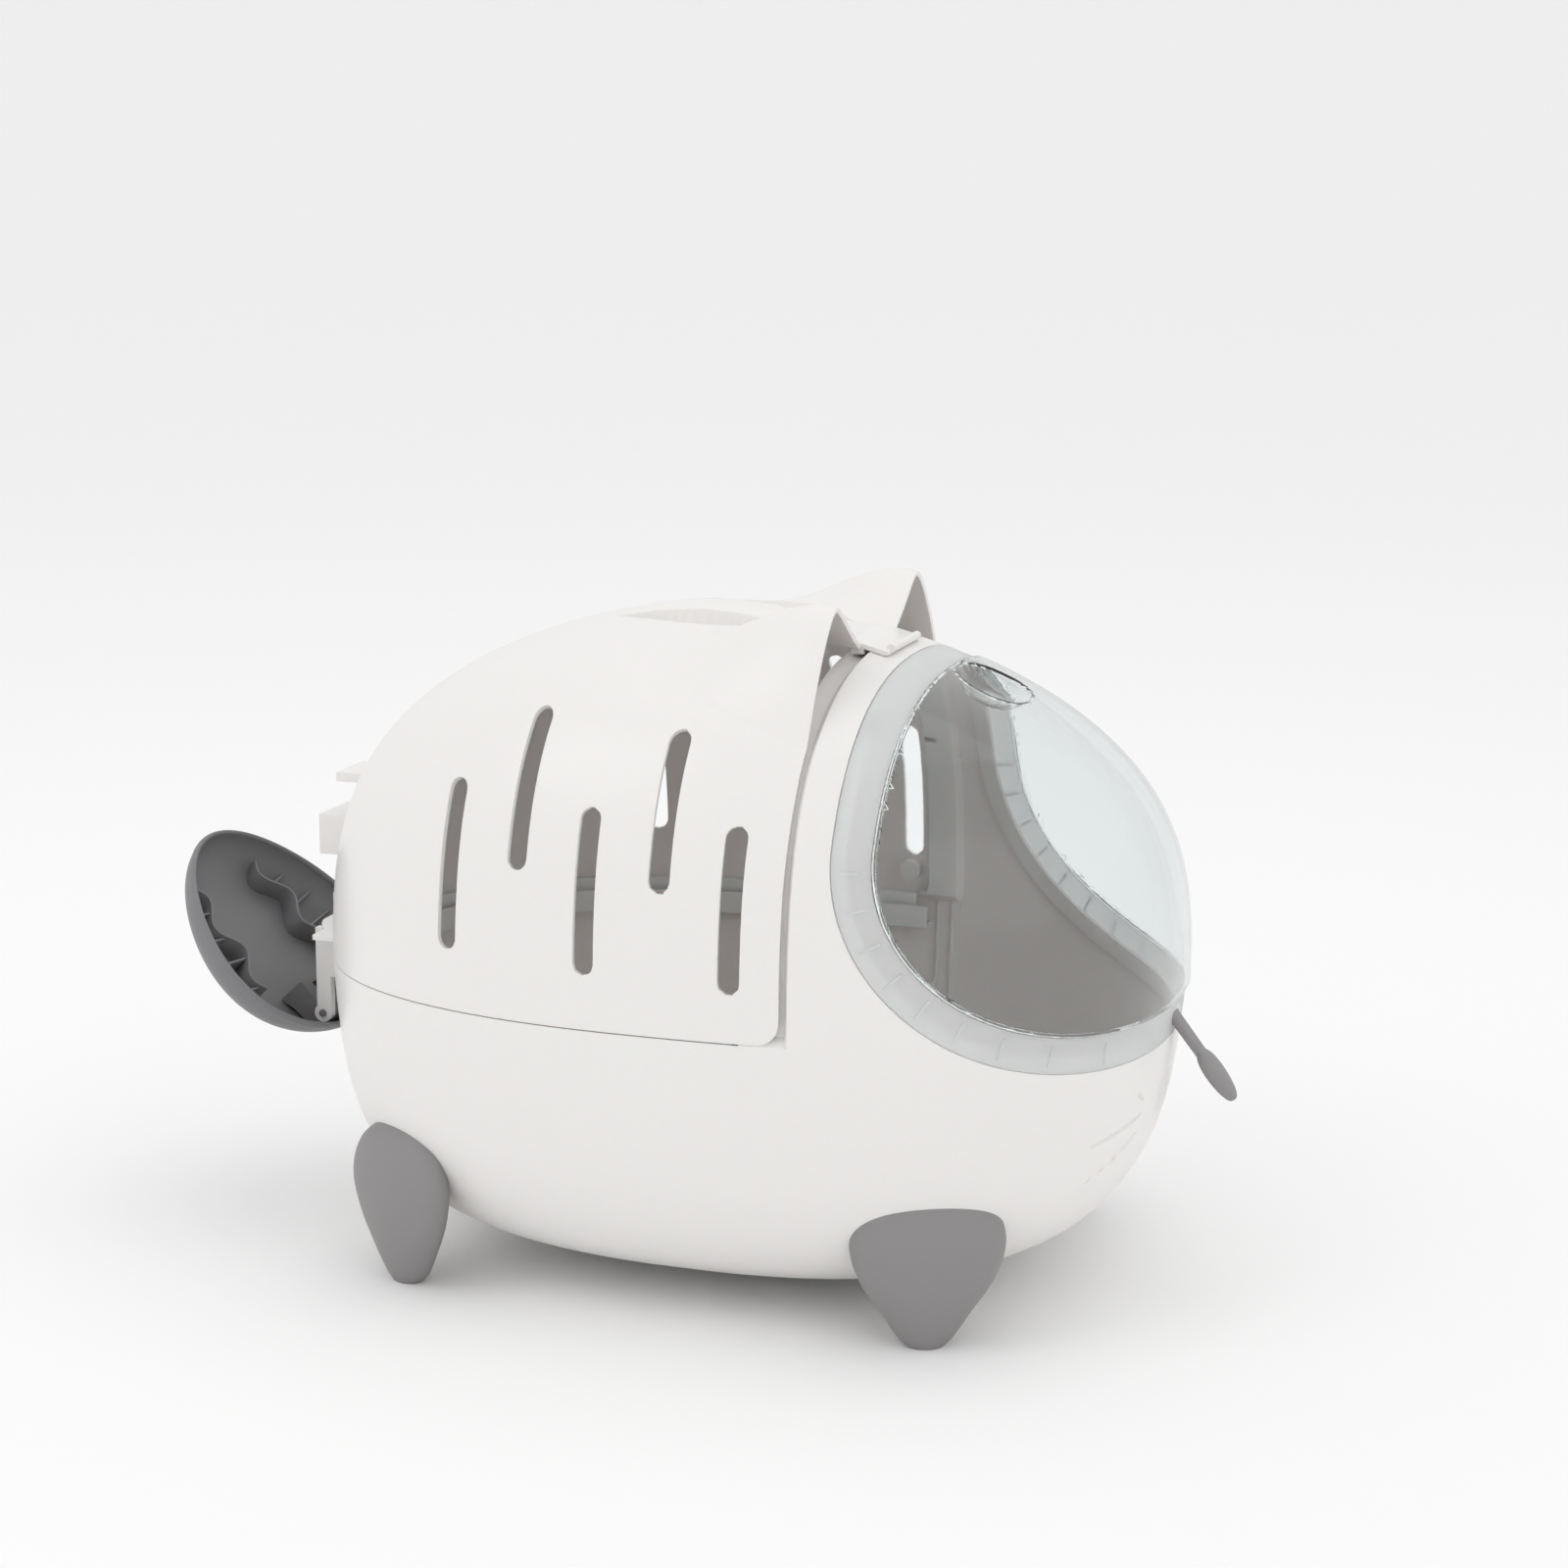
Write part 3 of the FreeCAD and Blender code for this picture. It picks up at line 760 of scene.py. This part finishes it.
@dataclass
class Hood:
    """The lift-off hood with ears, handle pockets and vents.

    Args:
        shop: material shop.
        wall: wall thickness.
        front: X of the front edge.
        low: height of the lower edge.
        ear_rise: height of the ears above the form.
        ear_across: distance of each ear from the middle.
        ear_spread: half width of an ear.
        pocket: depth of the handle pockets.
        vents: X, low and high end of each slot.
        vent_half: half width of a slot.
    """

    shop: MaterialShop
    wall: float = 3.0
    front: float = 76.0
    low: float = 187.8
    ear_rise: float = 41.0
    ear_across: float = 86.0
    ear_spread: float = 50.0
    pocket: float = 13.0
    vents: tuple = ((-133, 224, 322), (-86, 276, 364), (-41, 220, 315), (4, 271, 358), (47, 216, 310))
    vent_half: float = 6.5

    @staticmethod
    def circle(a: Sequence[float], b: Sequence[float], c: Sequence[float]) -> tuple[np.ndarray, float]:
        """Centre and radius of the circle through three points."""
        rows = np.array([b, c], float) - a
        half = np.array([np.dot(b, b) - np.dot(a, a), np.dot(c, c) - np.dot(a, a)]) / 2
        centre = np.linalg.solve(rows, half)
        return centre, float(np.hypot(*(centre - a)))

    def almond(self, points: np.ndarray) -> np.ndarray:
        """Above 0 inside a handle pocket, seen from above."""
        rear, nose = (-84, 25), (53, 30)
        spot = np.stack([points[:, 0], np.abs(points[:, 1])], -1)
        value = np.full(len(points), 1e3)
        for bend in ((-10, 19), (-14, 53)):
            centre, radius = self.circle(rear, bend, nose)
            value = np.minimum(value, radius - np.linalg.norm(spot - centre, axis=1))
        return np.where(points[:, 2] > 330, value, -5.0)

    def slots(self, points: np.ndarray) -> np.ndarray:
        """Above 0 outside every vent."""
        value = np.full(len(points), 1e3)
        for x, low, high in self.vents:
            z = np.clip(points[:, 2], low + self.vent_half, high - self.vent_half)
            value = np.minimum(value, np.hypot(points[:, 0] - x, points[:, 2] - z))
        return np.where(np.abs(points[:, 1]) > 55, value - self.vent_half, 50.0)

    def edge(self, points: np.ndarray) -> np.ndarray:
        """Above 0 behind the front edge, with a round lower corner."""
        radius = 13.0
        x, z = points[:, 0] - (self.front - radius), (self.low + radius) - points[:, 2]
        corner = radius - np.hypot(np.maximum(x, 0), np.maximum(z, 0))
        return np.where(z > 0, corner, self.front - points[:, 0])

    def notch(self, points: np.ndarray) -> np.ndarray:
        """Above 0 outside the rear cut-out that clears the tail bracket."""
        box = np.maximum(np.abs(points[:, 1]) - 64, points[:, 2] - (self.low + 9))
        return np.where(points[:, 0] < -200, box, 30.0)

    @staticmethod
    def hook_gap(points: np.ndarray) -> np.ndarray:
        """Above 0 outside the cut-out that the hook bar fills."""
        gap = np.maximum(np.abs(points[:, 1]) - 36, 66.5 - points[:, 0])
        return np.where(points[:, 2] > 370, gap, 30.0)

    def shape(self, points: np.ndarray) -> np.ndarray:
        """Raise the ears, sink the handle pockets and swell the ridge between them."""
        moved = points.copy()
        along = smooth((points[:, 0] + 34) / (self.front + 34)) ** 1.15
        side = np.abs(points[:, 1]) - self.ear_across
        off = (np.sqrt(side ** 2 + 30) - math.sqrt(30)) / (self.ear_spread * (0.72 + 0.28 * along))
        across = np.where(side < 0, np.maximum(1 - off, 0) ** 1.25, 1 - np.minimum(off, 1) ** 1.35)
        high = smooth((points[:, 2] - 320) / 40)
        moved[:, 2] += self.ear_rise * along * across * high
        moved[:, 2] -= self.pocket * smooth(self.almond(points) / 3.0)
        length = np.maximum(1 - ((points[:, 0] + 14) / 66) ** 2, 0)
        ridge = np.maximum(1 - (points[:, 1] / 19) ** 2, 0) * length
        moved[:, 2] += np.where(points[:, 2] > 330, 3.0 * smooth(ridge * 1.3), 0)
        spot = ((points[:, 0] - 60) / 34) ** 2 + ((points[:, 2] - 322) / 34) ** 2
        moved[:, 1] -= np.sign(points[:, 1]) * 2.2 * np.exp(-1.6 * spot) * (np.abs(points[:, 1]) > 60)
        return moved

    def build(self) -> None:
        """Make the hood skin, its lower flange with skirt, and the ribs."""
        white = self.shop.get(WHITE_PP)
        patch = form_patch(upper_rows(0.0037, 104), full_turn(480))
        for line in (self.edge, self.slots, self.notch, self.hook_gap):
            patch.keep(line)
        patch.score(self.almond).score(lambda p: self.almond(p) - 3.0)
        skin = mould("hood_skin", patch, white, "hood", Shell(self.wall, -1, 0.8), (0, 0, 0.25), self.shape)
        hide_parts("hood_shell")
        rim = sweep([(2.0, 189.3), (9.0, 189.3), (9.0, 185), (9.0, 180.5)])
        rim.keep(lambda p: 50 - p[:, 0]).keep(lambda p: np.where(p[:, 0] < -200, np.abs(p[:, 1]) - 66, 30.0))
        mould("hood_skirt", rim, white, "hood", Shell(2.0, 0, 0.5))
        self.skirt_ribs(white)
        for k, (x, deep) in enumerate(((73.0, 5.2), (66.0, 5.2), (57.0, 8.0))):
            inner_rib("hood_front_rib_%d" % (k + 1), x, 196, 316, (2.8, deep), "hood", white)

    @staticmethod
    def skirt_ribs(material: bpy.types.Material) -> None:
        """Put short ribs along the skirt."""
        places, turns = [], []
        share = FORM.share_at(185.0)
        for k in range(9):
            angle = FORM.angle_at(-150 + 22 * k, share)
            for side in (-1, 1):
                spot, ahead = (FORM.point(share, np.array(side * angle + a), 6.6) for a in (0, 0.01))
                places.append((spot[0], spot[1], 184.5))
                turns.append((0.0, 0.0, math.atan2(ahead[1] - spot[1], ahead[0] - spot[0])))
        Repeater("skirt_ribs", material).copy("hood_skirt_ribs", places, turns, (1.6, 3.0, 7.0), "hood")


@dataclass
class Visor:
    """The clear domed visor with its frosted rim band.

    Args:
        shop: material shop.
        wall: wall thickness.
        gap: gap to the cowl seam.
        band: width of the frosted band.
        swell: how far the dome stands proud of the band.
        swell_run: length of the slope up to it.
        cup_at: X of the forehead cup.
        cup_size: its half length and half width.
        cup_depth: its depth.
        ticks: short ribs on each side of the band.
    """

    shop: MaterialShop
    wall: float = 2.4
    gap: float = 0.8
    band: float = 22.0
    swell: float = 2.6
    swell_run: float = 2.2
    cup_at: float = 148.0
    cup_size: tuple = (22.0, 30.0)
    cup_depth: float = 10.0
    ticks: int = 9

    @staticmethod
    def lie_flat(spot: np.ndarray) -> tuple[float, float, float]:
        """Euler angles that lay a block's X across the band and its Z along the surface normal."""
        steps = np.eye(3) * 0.5

        def slope(line: Field) -> Vector:
            """Direction in which a field grows."""
            return Vector([float(v) for v in line(spot + steps) - line(spot - steps)])

        normal = slope(FORM.outside).normalized()
        across = slope(seam)
        across = (across - normal * across.dot(normal)).normalized()
        grid = Matrix((across, normal.cross(across), normal)).transposed()
        return tuple(grid.to_euler())

    def cup(self, points: np.ndarray) -> np.ndarray:
        """0 in the middle of the forehead cup, 1 at its edge."""
        return np.hypot((points[:, 0] - self.cup_at) / self.cup_size[0], points[:, 1] / self.cup_size[1])

    def dome_shape(self, points: np.ndarray) -> np.ndarray:
        """Lift the dome a little and sink the forehead cup."""
        rise = self.swell * smooth((seam(points) - self.band) / self.swell_run)
        aim = points - np.array([90.0, 0.0, 230.0])
        aim[:, 1] *= 1.2
        aim /= np.linalg.norm(aim, axis=1)[:, None]
        moved = points + aim * rise[:, None]
        sink = self.cup_depth * smooth((1 - self.cup(points)) / 0.4) * (points[:, 2] > seam.z)
        return moved - aim * sink[:, None]

    def build(self) -> None:
        """Make the band, the dome and the band's ribs."""
        frost = self.shop.get(FROST_PS)
        rows = np.concatenate([-np.linspace(0.16, 0, 10)[:-1], upper_rows(0.0, 100)])
        inside = (0.1, 0, 0.23)
        rim = form_patch(rows, full_turn(420))
        rim.keep(lambda p: seam(p) - self.gap).keep(lambda p: self.band - seam(p))
        band = mould("visor_band", rim, frost, "visor", Shell(self.wall, -1, 0.6), inside)
        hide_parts("visor_rim")
        cap = form_patch(rows, full_turn(420)).keep(lambda p: seam(p) - self.band - 0.3)
        cap.score(lambda p: seam(p) - self.band - self.swell_run)
        cap.score(lambda p: np.where(p[:, 2] > seam.z, 1 - self.cup(p), -1.0))
        dome = mould("visor_clear_dome", cap, self.shop.get(CLEAR_PS), "visor", Shell(self.wall, -1, 0.0),
                     inside, self.dome_shape)
        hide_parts("visor_dome")
        self.band_ribs(frost)

    def band_ribs(self, material: bpy.types.Material) -> None:
        """Lay short ribs across the middle of the band."""
        middle = self.band / 2
        places, turns = [], []
        for k in range(self.ticks):
            a = math.radians(6 + 78 * k / (self.ticks - 1))
            share = FORM.share_at(seam.z - (seam.z - seam.low - middle) * math.sin(a))
            angle = FORM.angle_at(seam.x - (seam.x - seam.rear - middle) * math.cos(a), share)
            for side in (-1, 1):
                places.append(FORM.point(share, np.array(side * angle)))
                turns.append(self.lie_flat(places[-1]))
        Repeater("band_ribs", material).copy("visor_band_ribs", places, turns, (13, 1.5, 2.2), "visor")


@dataclass
class Paw:
    """A pick-shaped grey leg that seats on the side of the tub.

    Args:
        name: which node it stands for.
        x: place along the tub.
        y: place across.
        turn: turn about Z in degrees.
        levels: height, half width, half depth and lean of each level.
    """

    name: str
    x: float
    y: float
    turn: float
    levels: tuple = ((0, 11, 9, 0), (6, 17, 12, 0), (20, 26, 16, 1), (42, 40, 19, 3), (64, 46, 20, 4),
                     (84, 40, 17, 3), (97, 25, 11, 0), (104, 8, 4, -3))

    def place(self, uv: np.ndarray) -> np.ndarray:
        """Ellipses stacked from the floor."""
        table = np.array(self.levels, float)
        steps = np.arange(len(table))
        z, across, deep, lean = (catmull(uv[:, 0], steps, table[:, k]) for k in range(4))
        closed = np.clip(len(table) - uv[:, 0], 0, 1)
        end = uv[:, 0] > len(table) - 1
        across, deep = np.where(end, across * np.sqrt(closed), across), np.where(end, deep * closed, deep)
        sole = uv[:, 0] < 0
        grow = np.where(sole, np.clip(1 + uv[:, 0], 0, 1), 1.0)
        across, deep, z = across * grow, deep * grow, np.where(sole, 0.0, z)
        a, b = across * np.cos(uv[:, 1]), lean + deep * np.sin(uv[:, 1])
        turn = math.radians(self.turn)
        return np.stack([self.x + a * math.cos(turn) - b * math.sin(turn),
                         self.y + a * math.sin(turn) + b * math.cos(turn), z], -1)

    def build(self, material: bpy.types.Material) -> None:
        """Make the paw on each side."""
        top = len(self.levels) - 1
        rows = np.concatenate([[-1.0, -0.3], np.linspace(0, top, 70), [top + 0.7, top + 0.999]])
        for word, side in SIDES.items():
            patch = Patch(self.place, rows, full_turn(72)).keep(lambda p: FORM.outside(p) + 0.35)
            leg = mould("%s_%s_leg" % (self.name, word), patch, material, "base",
                        inside=FORM.metres((self.x, side * self.y, 50)), move=lambda p, s=side: p * [1, s, 1])
            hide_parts("%s_%s" % (self.name, word))


def catmull(at: np.ndarray, steps: np.ndarray, values: np.ndarray) -> np.ndarray:
    """A smooth line through evenly spaced values."""
    at = np.clip(at, 0, steps[-1])
    i = np.clip(np.floor(at).astype(int), 0, len(values) - 2)
    t = at - i
    padded = np.concatenate([[2 * values[0] - values[1]], values, [2 * values[-1] - values[-2]]])
    p0, p1, p2, p3 = (padded[i + k] for k in range(4))
    return 0.5 * (2 * p1 + (p2 - p0) * t + (2 * p0 - 5 * p1 + 4 * p2 - p3) * t ** 2
                  + (3 * p1 - p0 - 3 * p2 + p3) * t ** 3)


@dataclass
class Tail:
    """The open tail dish with its wavy ribs.

    Args:
        shop: material shop.
        hinge_x: hinge pin along the object.
        hinge_z: hinge pin height.
        lean: angle from upright in degrees.
        half_width: half width of the dish.
        half_length: half length of the dish.
        centre: distance of the dish middle from the hinge.
        depth: how deep the dish is.
        rim: how far the rim stands in front of the hinge plane.
        wall: wall thickness.
    """

    shop: MaterialShop
    hinge_x: float = -288.0
    hinge_z: float = 132.0
    lean: float = 43.0
    half_width: float = 92.0
    half_length: float = 79.0
    centre: float = 63.0
    depth: float = 28.0
    rim: float = 4.0
    wall: float = 2.6

    def stand(self, out: np.ndarray, across: np.ndarray, along: np.ndarray) -> np.ndarray:
        """From the dish's own axes to the object's."""
        lean = math.radians(self.lean)
        c, s = math.cos(lean), math.sin(lean)
        return np.stack([self.hinge_x + out * c - along * s, across, self.hinge_z + out * s + along * c], -1)

    def outline(self, size: np.ndarray, angle: np.ndarray) -> tuple[np.ndarray, np.ndarray]:
        """Along and across on the dish outline at a size."""
        c, s = np.cos(angle), np.sin(angle)
        return self.centre + self.half_length * size * c, self.half_width * size * s * (1 - 0.2 * c)

    def floor(self, size: np.ndarray) -> np.ndarray:
        """Depth of the dish at a size from 0 at the middle to 1 at the rim."""
        late = np.clip((size - 0.58) / 0.42, 0, 1)
        return self.rim - self.depth * np.sqrt(np.maximum(1 - late ** 2, 0)) - 1.5 * (1 - size ** 2)

    def place(self, uv: np.ndarray) -> np.ndarray:
        """The outer face."""
        along, across = self.outline(uv[:, 0], uv[:, 1])
        return self.stand(self.floor(uv[:, 0]), across, along)

    def off_hinge(self, points: np.ndarray) -> np.ndarray:
        """Distance from the hinge pin, where the bracket stands."""
        away = np.hypot(points[:, 0] - self.hinge_x, points[:, 2] - self.hinge_z)
        return away + 100 * (np.abs(points[:, 1]) > 36)

    def build(self) -> None:
        """Make the dish, its rim bead and its ribs."""
        dark = self.shop.get(DARK_PP)
        late = 0.44 * np.sin(np.linspace(0, 1, 46) * math.pi / 2)
        rows = np.concatenate([np.linspace(0, 0.56, 14)[:-1], 0.56 + late])
        patch = Patch(self.place, rows, full_turn(200)).keep(lambda p: self.off_hinge(p) - 9)
        inside = FORM.metres(self.stand(np.array(20.0), np.array(0.0), np.array(60.0)))
        dish = mould("tail_shell", patch, dark, "tail", Shell(self.wall, -1, 0.6), inside)
        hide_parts("tail_dish")
        bead = Patch(self.bead, np.arange(13.0), full_turn(200)).keep(lambda p: self.off_hinge(p) - 11)
        mould("tail_rim_bead", bead, dark, "tail")
        for word, side in SIDES.items():
            self.ribs(word, side, dark)

    def bead(self, uv: np.ndarray) -> np.ndarray:
        """A rounded bead round the rim."""
        turn = uv[:, 0] / 12 * 2 * math.pi
        size = 0.985 + (1.9 * np.cos(turn)) / self.half_width
        along, across = self.outline(size, uv[:, 1])
        return self.stand(self.rim - 2.2 + 3.0 * np.sin(turn), across, along)

    def size_at(self, along: np.ndarray, across: np.ndarray) -> np.ndarray:
        """The size whose outline runs through a point."""
        run = (along - self.centre) / self.half_length
        return np.hypot(run, across / (self.half_width * (1 - 0.2 * run)))

    def wall_patch(self, line: Callable[[np.ndarray], tuple[np.ndarray, np.ndarray]], top: float,
                   steps: int) -> Patch:
        """A thin wall on the dish floor along a line; the line gives along and across."""

        def place(uv: np.ndarray) -> np.ndarray:
            """Points of the patch."""
            along, across = line(uv[:, 1])
            low = self.floor(np.clip(self.size_at(along, across), 0, 1)) + 1.0
            return self.stand(low + np.maximum(top - low, 0.0) * uv[:, 0], across, along)

        return Patch(place, np.linspace(0, 1, 3), np.linspace(0, 1, steps))

    def ribs(self, word: str, side: int, material: bpy.types.Material) -> None:
        """Make a wavy wall along one side of the dish and the short walls that tie it to the edge.

        Args:
            word: the side's name.
            side: 1 for left, -1 for right.
            material: their finish.
        """

        def wave(go: np.ndarray) -> tuple[np.ndarray, np.ndarray]:
            """Along and across of the wavy wall."""
            return 34 + 82 * go, side * (52 - 9 * go + 8 * np.sin(go * 4 * math.pi))

        mould("tail_rib_" + word, self.wall_patch(wave, -8.0, 70), material, "tail", Shell(1.8, 0, 0.4))
        for k, go in enumerate((0.04, 0.3, 0.52, 0.76)):
            along, start = (float(v) for v in wave(np.array(go)))
            run = (along - self.centre) / self.half_length
            end = side * self.half_width * (1 - 0.2 * run) * math.sqrt(0.93 - run * run)

            def tie(at: np.ndarray, a: float = along, b: float = start, c: float = end
                    ) -> tuple[np.ndarray, np.ndarray]:
                """Along and across of a short wall."""
                return np.full(len(at), a) + 5 * at, b + (c - b) * at

            mould("tail_gusset_%s_%d" % (word, k + 1), self.wall_patch(tie, -10.0, 14), material, "tail",
                  Shell(1.5, 0, 0.3))


@dataclass
class NosePull:
    """The grey pull below the visor: a drop-shaped button on a flat stem.

    Args:
        at: foot of the stem.
        lean: lean of the stem in degrees.
        half_width: half width of the button.
        half_height: half height of the button.
        half_depth: half thickness of the button.
        drop: how far the button's middle hangs below the foot.
    """

    at: tuple = (282, 0, 150)
    lean: float = 38.0
    half_width: float = 16.5
    half_height: float = 18.0
    half_depth: float = 4.2
    drop: float = 14.0

    def stand(self, points: np.ndarray) -> np.ndarray:
        """Lean points and move them to the nose."""
        c, s = math.cos(math.radians(self.lean)), math.sin(math.radians(self.lean))
        x, y, z = points[:, 0], points[:, 1], points[:, 2]
        return np.stack([self.at[0] + c * x - s * z, y, self.at[2] + s * x + c * z], -1)

    def button(self, uv: np.ndarray) -> np.ndarray:
        """A pillow with a drop-shaped outline."""
        tall, round_ = uv[:, 0], uv[:, 1]
        z = -np.cos(tall)
        width = self.half_width * np.sin(tall) ** 0.9 * (0.84 + 0.16 * z)
        y = width * signed_power(np.cos(round_), 0.8)
        x = self.half_depth * np.sin(tall) ** 0.55 * signed_power(np.sin(round_), 0.8)
        return self.stand(np.stack([x, y, self.half_height * z - self.drop], -1))

    def stem(self, uv: np.ndarray) -> np.ndarray:
        """A flat stem with round edges that widens a little towards the visor."""
        y = (6.4 + 0.04 * uv[:, 0]) * signed_power(np.cos(uv[:, 1]), 0.5)
        x = 2.5 * signed_power(np.sin(uv[:, 1]), 0.5)
        return self.stand(np.stack([x, y, uv[:, 0]], -1))

    def build(self, material: bpy.types.Material) -> None:
        """Make the button and the stem."""
        inside = FORM.metres(self.at) * [1, 0, 1]
        button = Patch(self.button, np.linspace(0.001, math.pi - 0.001, 40), full_turn(56))
        drop = mould("nose_button", button, material, "visor", inside=inside)
        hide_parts("nose_pull")
        rod = Patch(self.stem, np.linspace(-6, 33, 40), full_turn(40)).keep(FORM.outside)
        mould("nose_stem", rod, material, "visor", inside=inside)


class LitterBox:
    """The whole object."""

    KEPT = (
        (WHITE_PP, 0.5, ("tail_bracket", "hood_catch", "hood_boss_left", "hood_boss_right")),
        (WHITE_PP, 0.6, ("hood_hook", "hood_tongue", "hood_rear_lug")),
        (DARK_PP, 0.5, ("tail_clip",)),
        (DARK_PP, 0.3, ("tail_pin",)),
        (CLEAR_PS, 0.3, ("visor_hook_left", "visor_hook_right", "visor_prong_left", "visor_prong_right")),
    )

    def __init__(self, nodes: dict[str, bpy.types.Object]) -> None:
        """Keep the CAD nodes and start the materials."""
        self.nodes = nodes
        self.shop = MaterialShop()

    def build(self) -> None:
        """Make every piece."""
        for part in (Tub, Hood, Visor, Tail):
            part(self.shop).build()
        for part in (Paw("paw_front", 150, 138, -26), Paw("paw_rear", -181, 138, 34), NosePull()):
            part.build(self.shop.get(GREY_PP))
        self.dress()

    def dress(self) -> None:
        """Give the plain hard pieces from the CAD their finish and rounded edges."""
        for finish, radius, names in self.KEPT:
            for name in names:
                item = self.nodes[name]
                item.data.materials.clear()
                item.data.materials.append(self.shop.get(finish))
                add_bevel(item, radius, 2, 40)
                LOG.info("%s: kept from the CAD, in %s", name, finish.name)


# ---- the studio
@dataclass(frozen=True)
class Lamp:
    """A soft light.

    Args:
        name: its name.
        at: place in metres.
        size: side of the square.
        power: watts.
    """

    name: str
    at: tuple
    size: float
    power: float


class Studio:
    """Floor, lights and camera."""

    LAMPS = (
        Lamp("key", (-1.5, -1.6, 2.6), 1.6, 8.5),
        Lamp("fill", (2.4, -1.3, 1.5), 1.8, 3.5),
        Lamp("top", (0.1, 0.6, 2.8), 2.2, 5.5),
    )
    AIM = (0, 0, 0.2)

    def build(self) -> None:
        """Set up the studio."""
        scene = bpy.context.scene
        scene.view_settings.view_transform = "Standard"
        world = bpy.data.worlds.new("studio")
        scene.world = world
        world.use_nodes = True
        back = world.node_tree.nodes["Background"]
        back.inputs["Color"].default_value = linear("#FAFAFA")
        back.inputs["Strength"].default_value = 0.93
        floor = self.sweep_floor(14.0, 6.0)
        paper = bpy.data.materials.new("studio_paper")
        paper.use_nodes = True
        shader = paper.node_tree.nodes["Principled BSDF"]
        shader.inputs["Base Color"].default_value = linear("#FCFCFC")
        shader.inputs["Roughness"].default_value = 0.9
        floor.data.materials.append(paper)
        for lamp in self.LAMPS:
            self.light(lamp)
        self.camera()

    @staticmethod
    def sweep_floor(flat: float, bend: float) -> bpy.types.Object:
        """A round floor that curves up far away, so no horizon line shows.

        Args:
            flat: radius of the flat part in metres.
            bend: radius of the curve.
        Returns:
            The floor.
        """
        profile = [(flat - 1.0, 0.0), (flat, 0.0)]
        for k in range(1, 25):
            arc = math.pi / 2 * k / 24
            profile.append((flat + bend * math.sin(arc), bend - bend * math.cos(arc)))
        count = 96
        points = [(r * math.cos(2 * math.pi * k / count), r * math.sin(2 * math.pi * k / count), z)
                  for r, z in profile for k in range(count)]
        faces = [[i * count + k, (i + 1) * count + k, (i + 1) * count + (k + 1) % count,
                  i * count + (k + 1) % count] for i in range(len(profile) - 1) for k in range(count)]
        mesh = bpy.data.meshes.new("floor")
        mesh.from_pydata(points, [], [list(range(count))] + faces)
        mesh.polygons.foreach_set("use_smooth", [False] + [True] * (len(mesh.polygons) - 1))
        return add_object("floor", mesh)

    def light(self, lamp: Lamp) -> None:
        """Add a square lamp that points at AIM."""
        data = bpy.data.lights.new(lamp.name, "AREA")
        data.size = lamp.size
        data.energy = lamp.power
        item = add_object(lamp.name, data)
        item.location = lamp.at
        item.rotation_euler = (Vector(self.AIM) - item.location).to_track_quat("-Z", "Y").to_euler()

    @staticmethod
    def camera() -> None:
        """The camera stands where the object is seen from its right side and a little from above."""
        turn, lift = math.radians(19.5), math.radians(12.8)
        back = Vector((math.sin(turn) * math.cos(lift), -math.cos(turn) * math.cos(lift), math.sin(lift)))
        right = Vector((math.cos(turn), math.sin(turn), 0))
        up = back.cross(right).normalized()
        data = bpy.data.cameras.new("camera")
        data.sensor_width = 36
        data.lens = 73.0
        data.shift_x, data.shift_y = 0.045, 0.045
        item = add_object("camera", data)
        grid = Matrix((right, up, back)).transposed().to_4x4()
        grid.translation = Vector((0.617 + FORM.shift * MM, -1.827, 0.6907))
        item.matrix_world = grid
        bpy.context.scene.camera = item


def main() -> None:
    """Build the object and the studio."""
    logging.basicConfig(level=logging.INFO)
    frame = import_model()
    LitterBox(frame["nodes"]).build()
    Studio().build()
    bpy.context.view_layer.update()


if __name__ == "__main__":
    main()
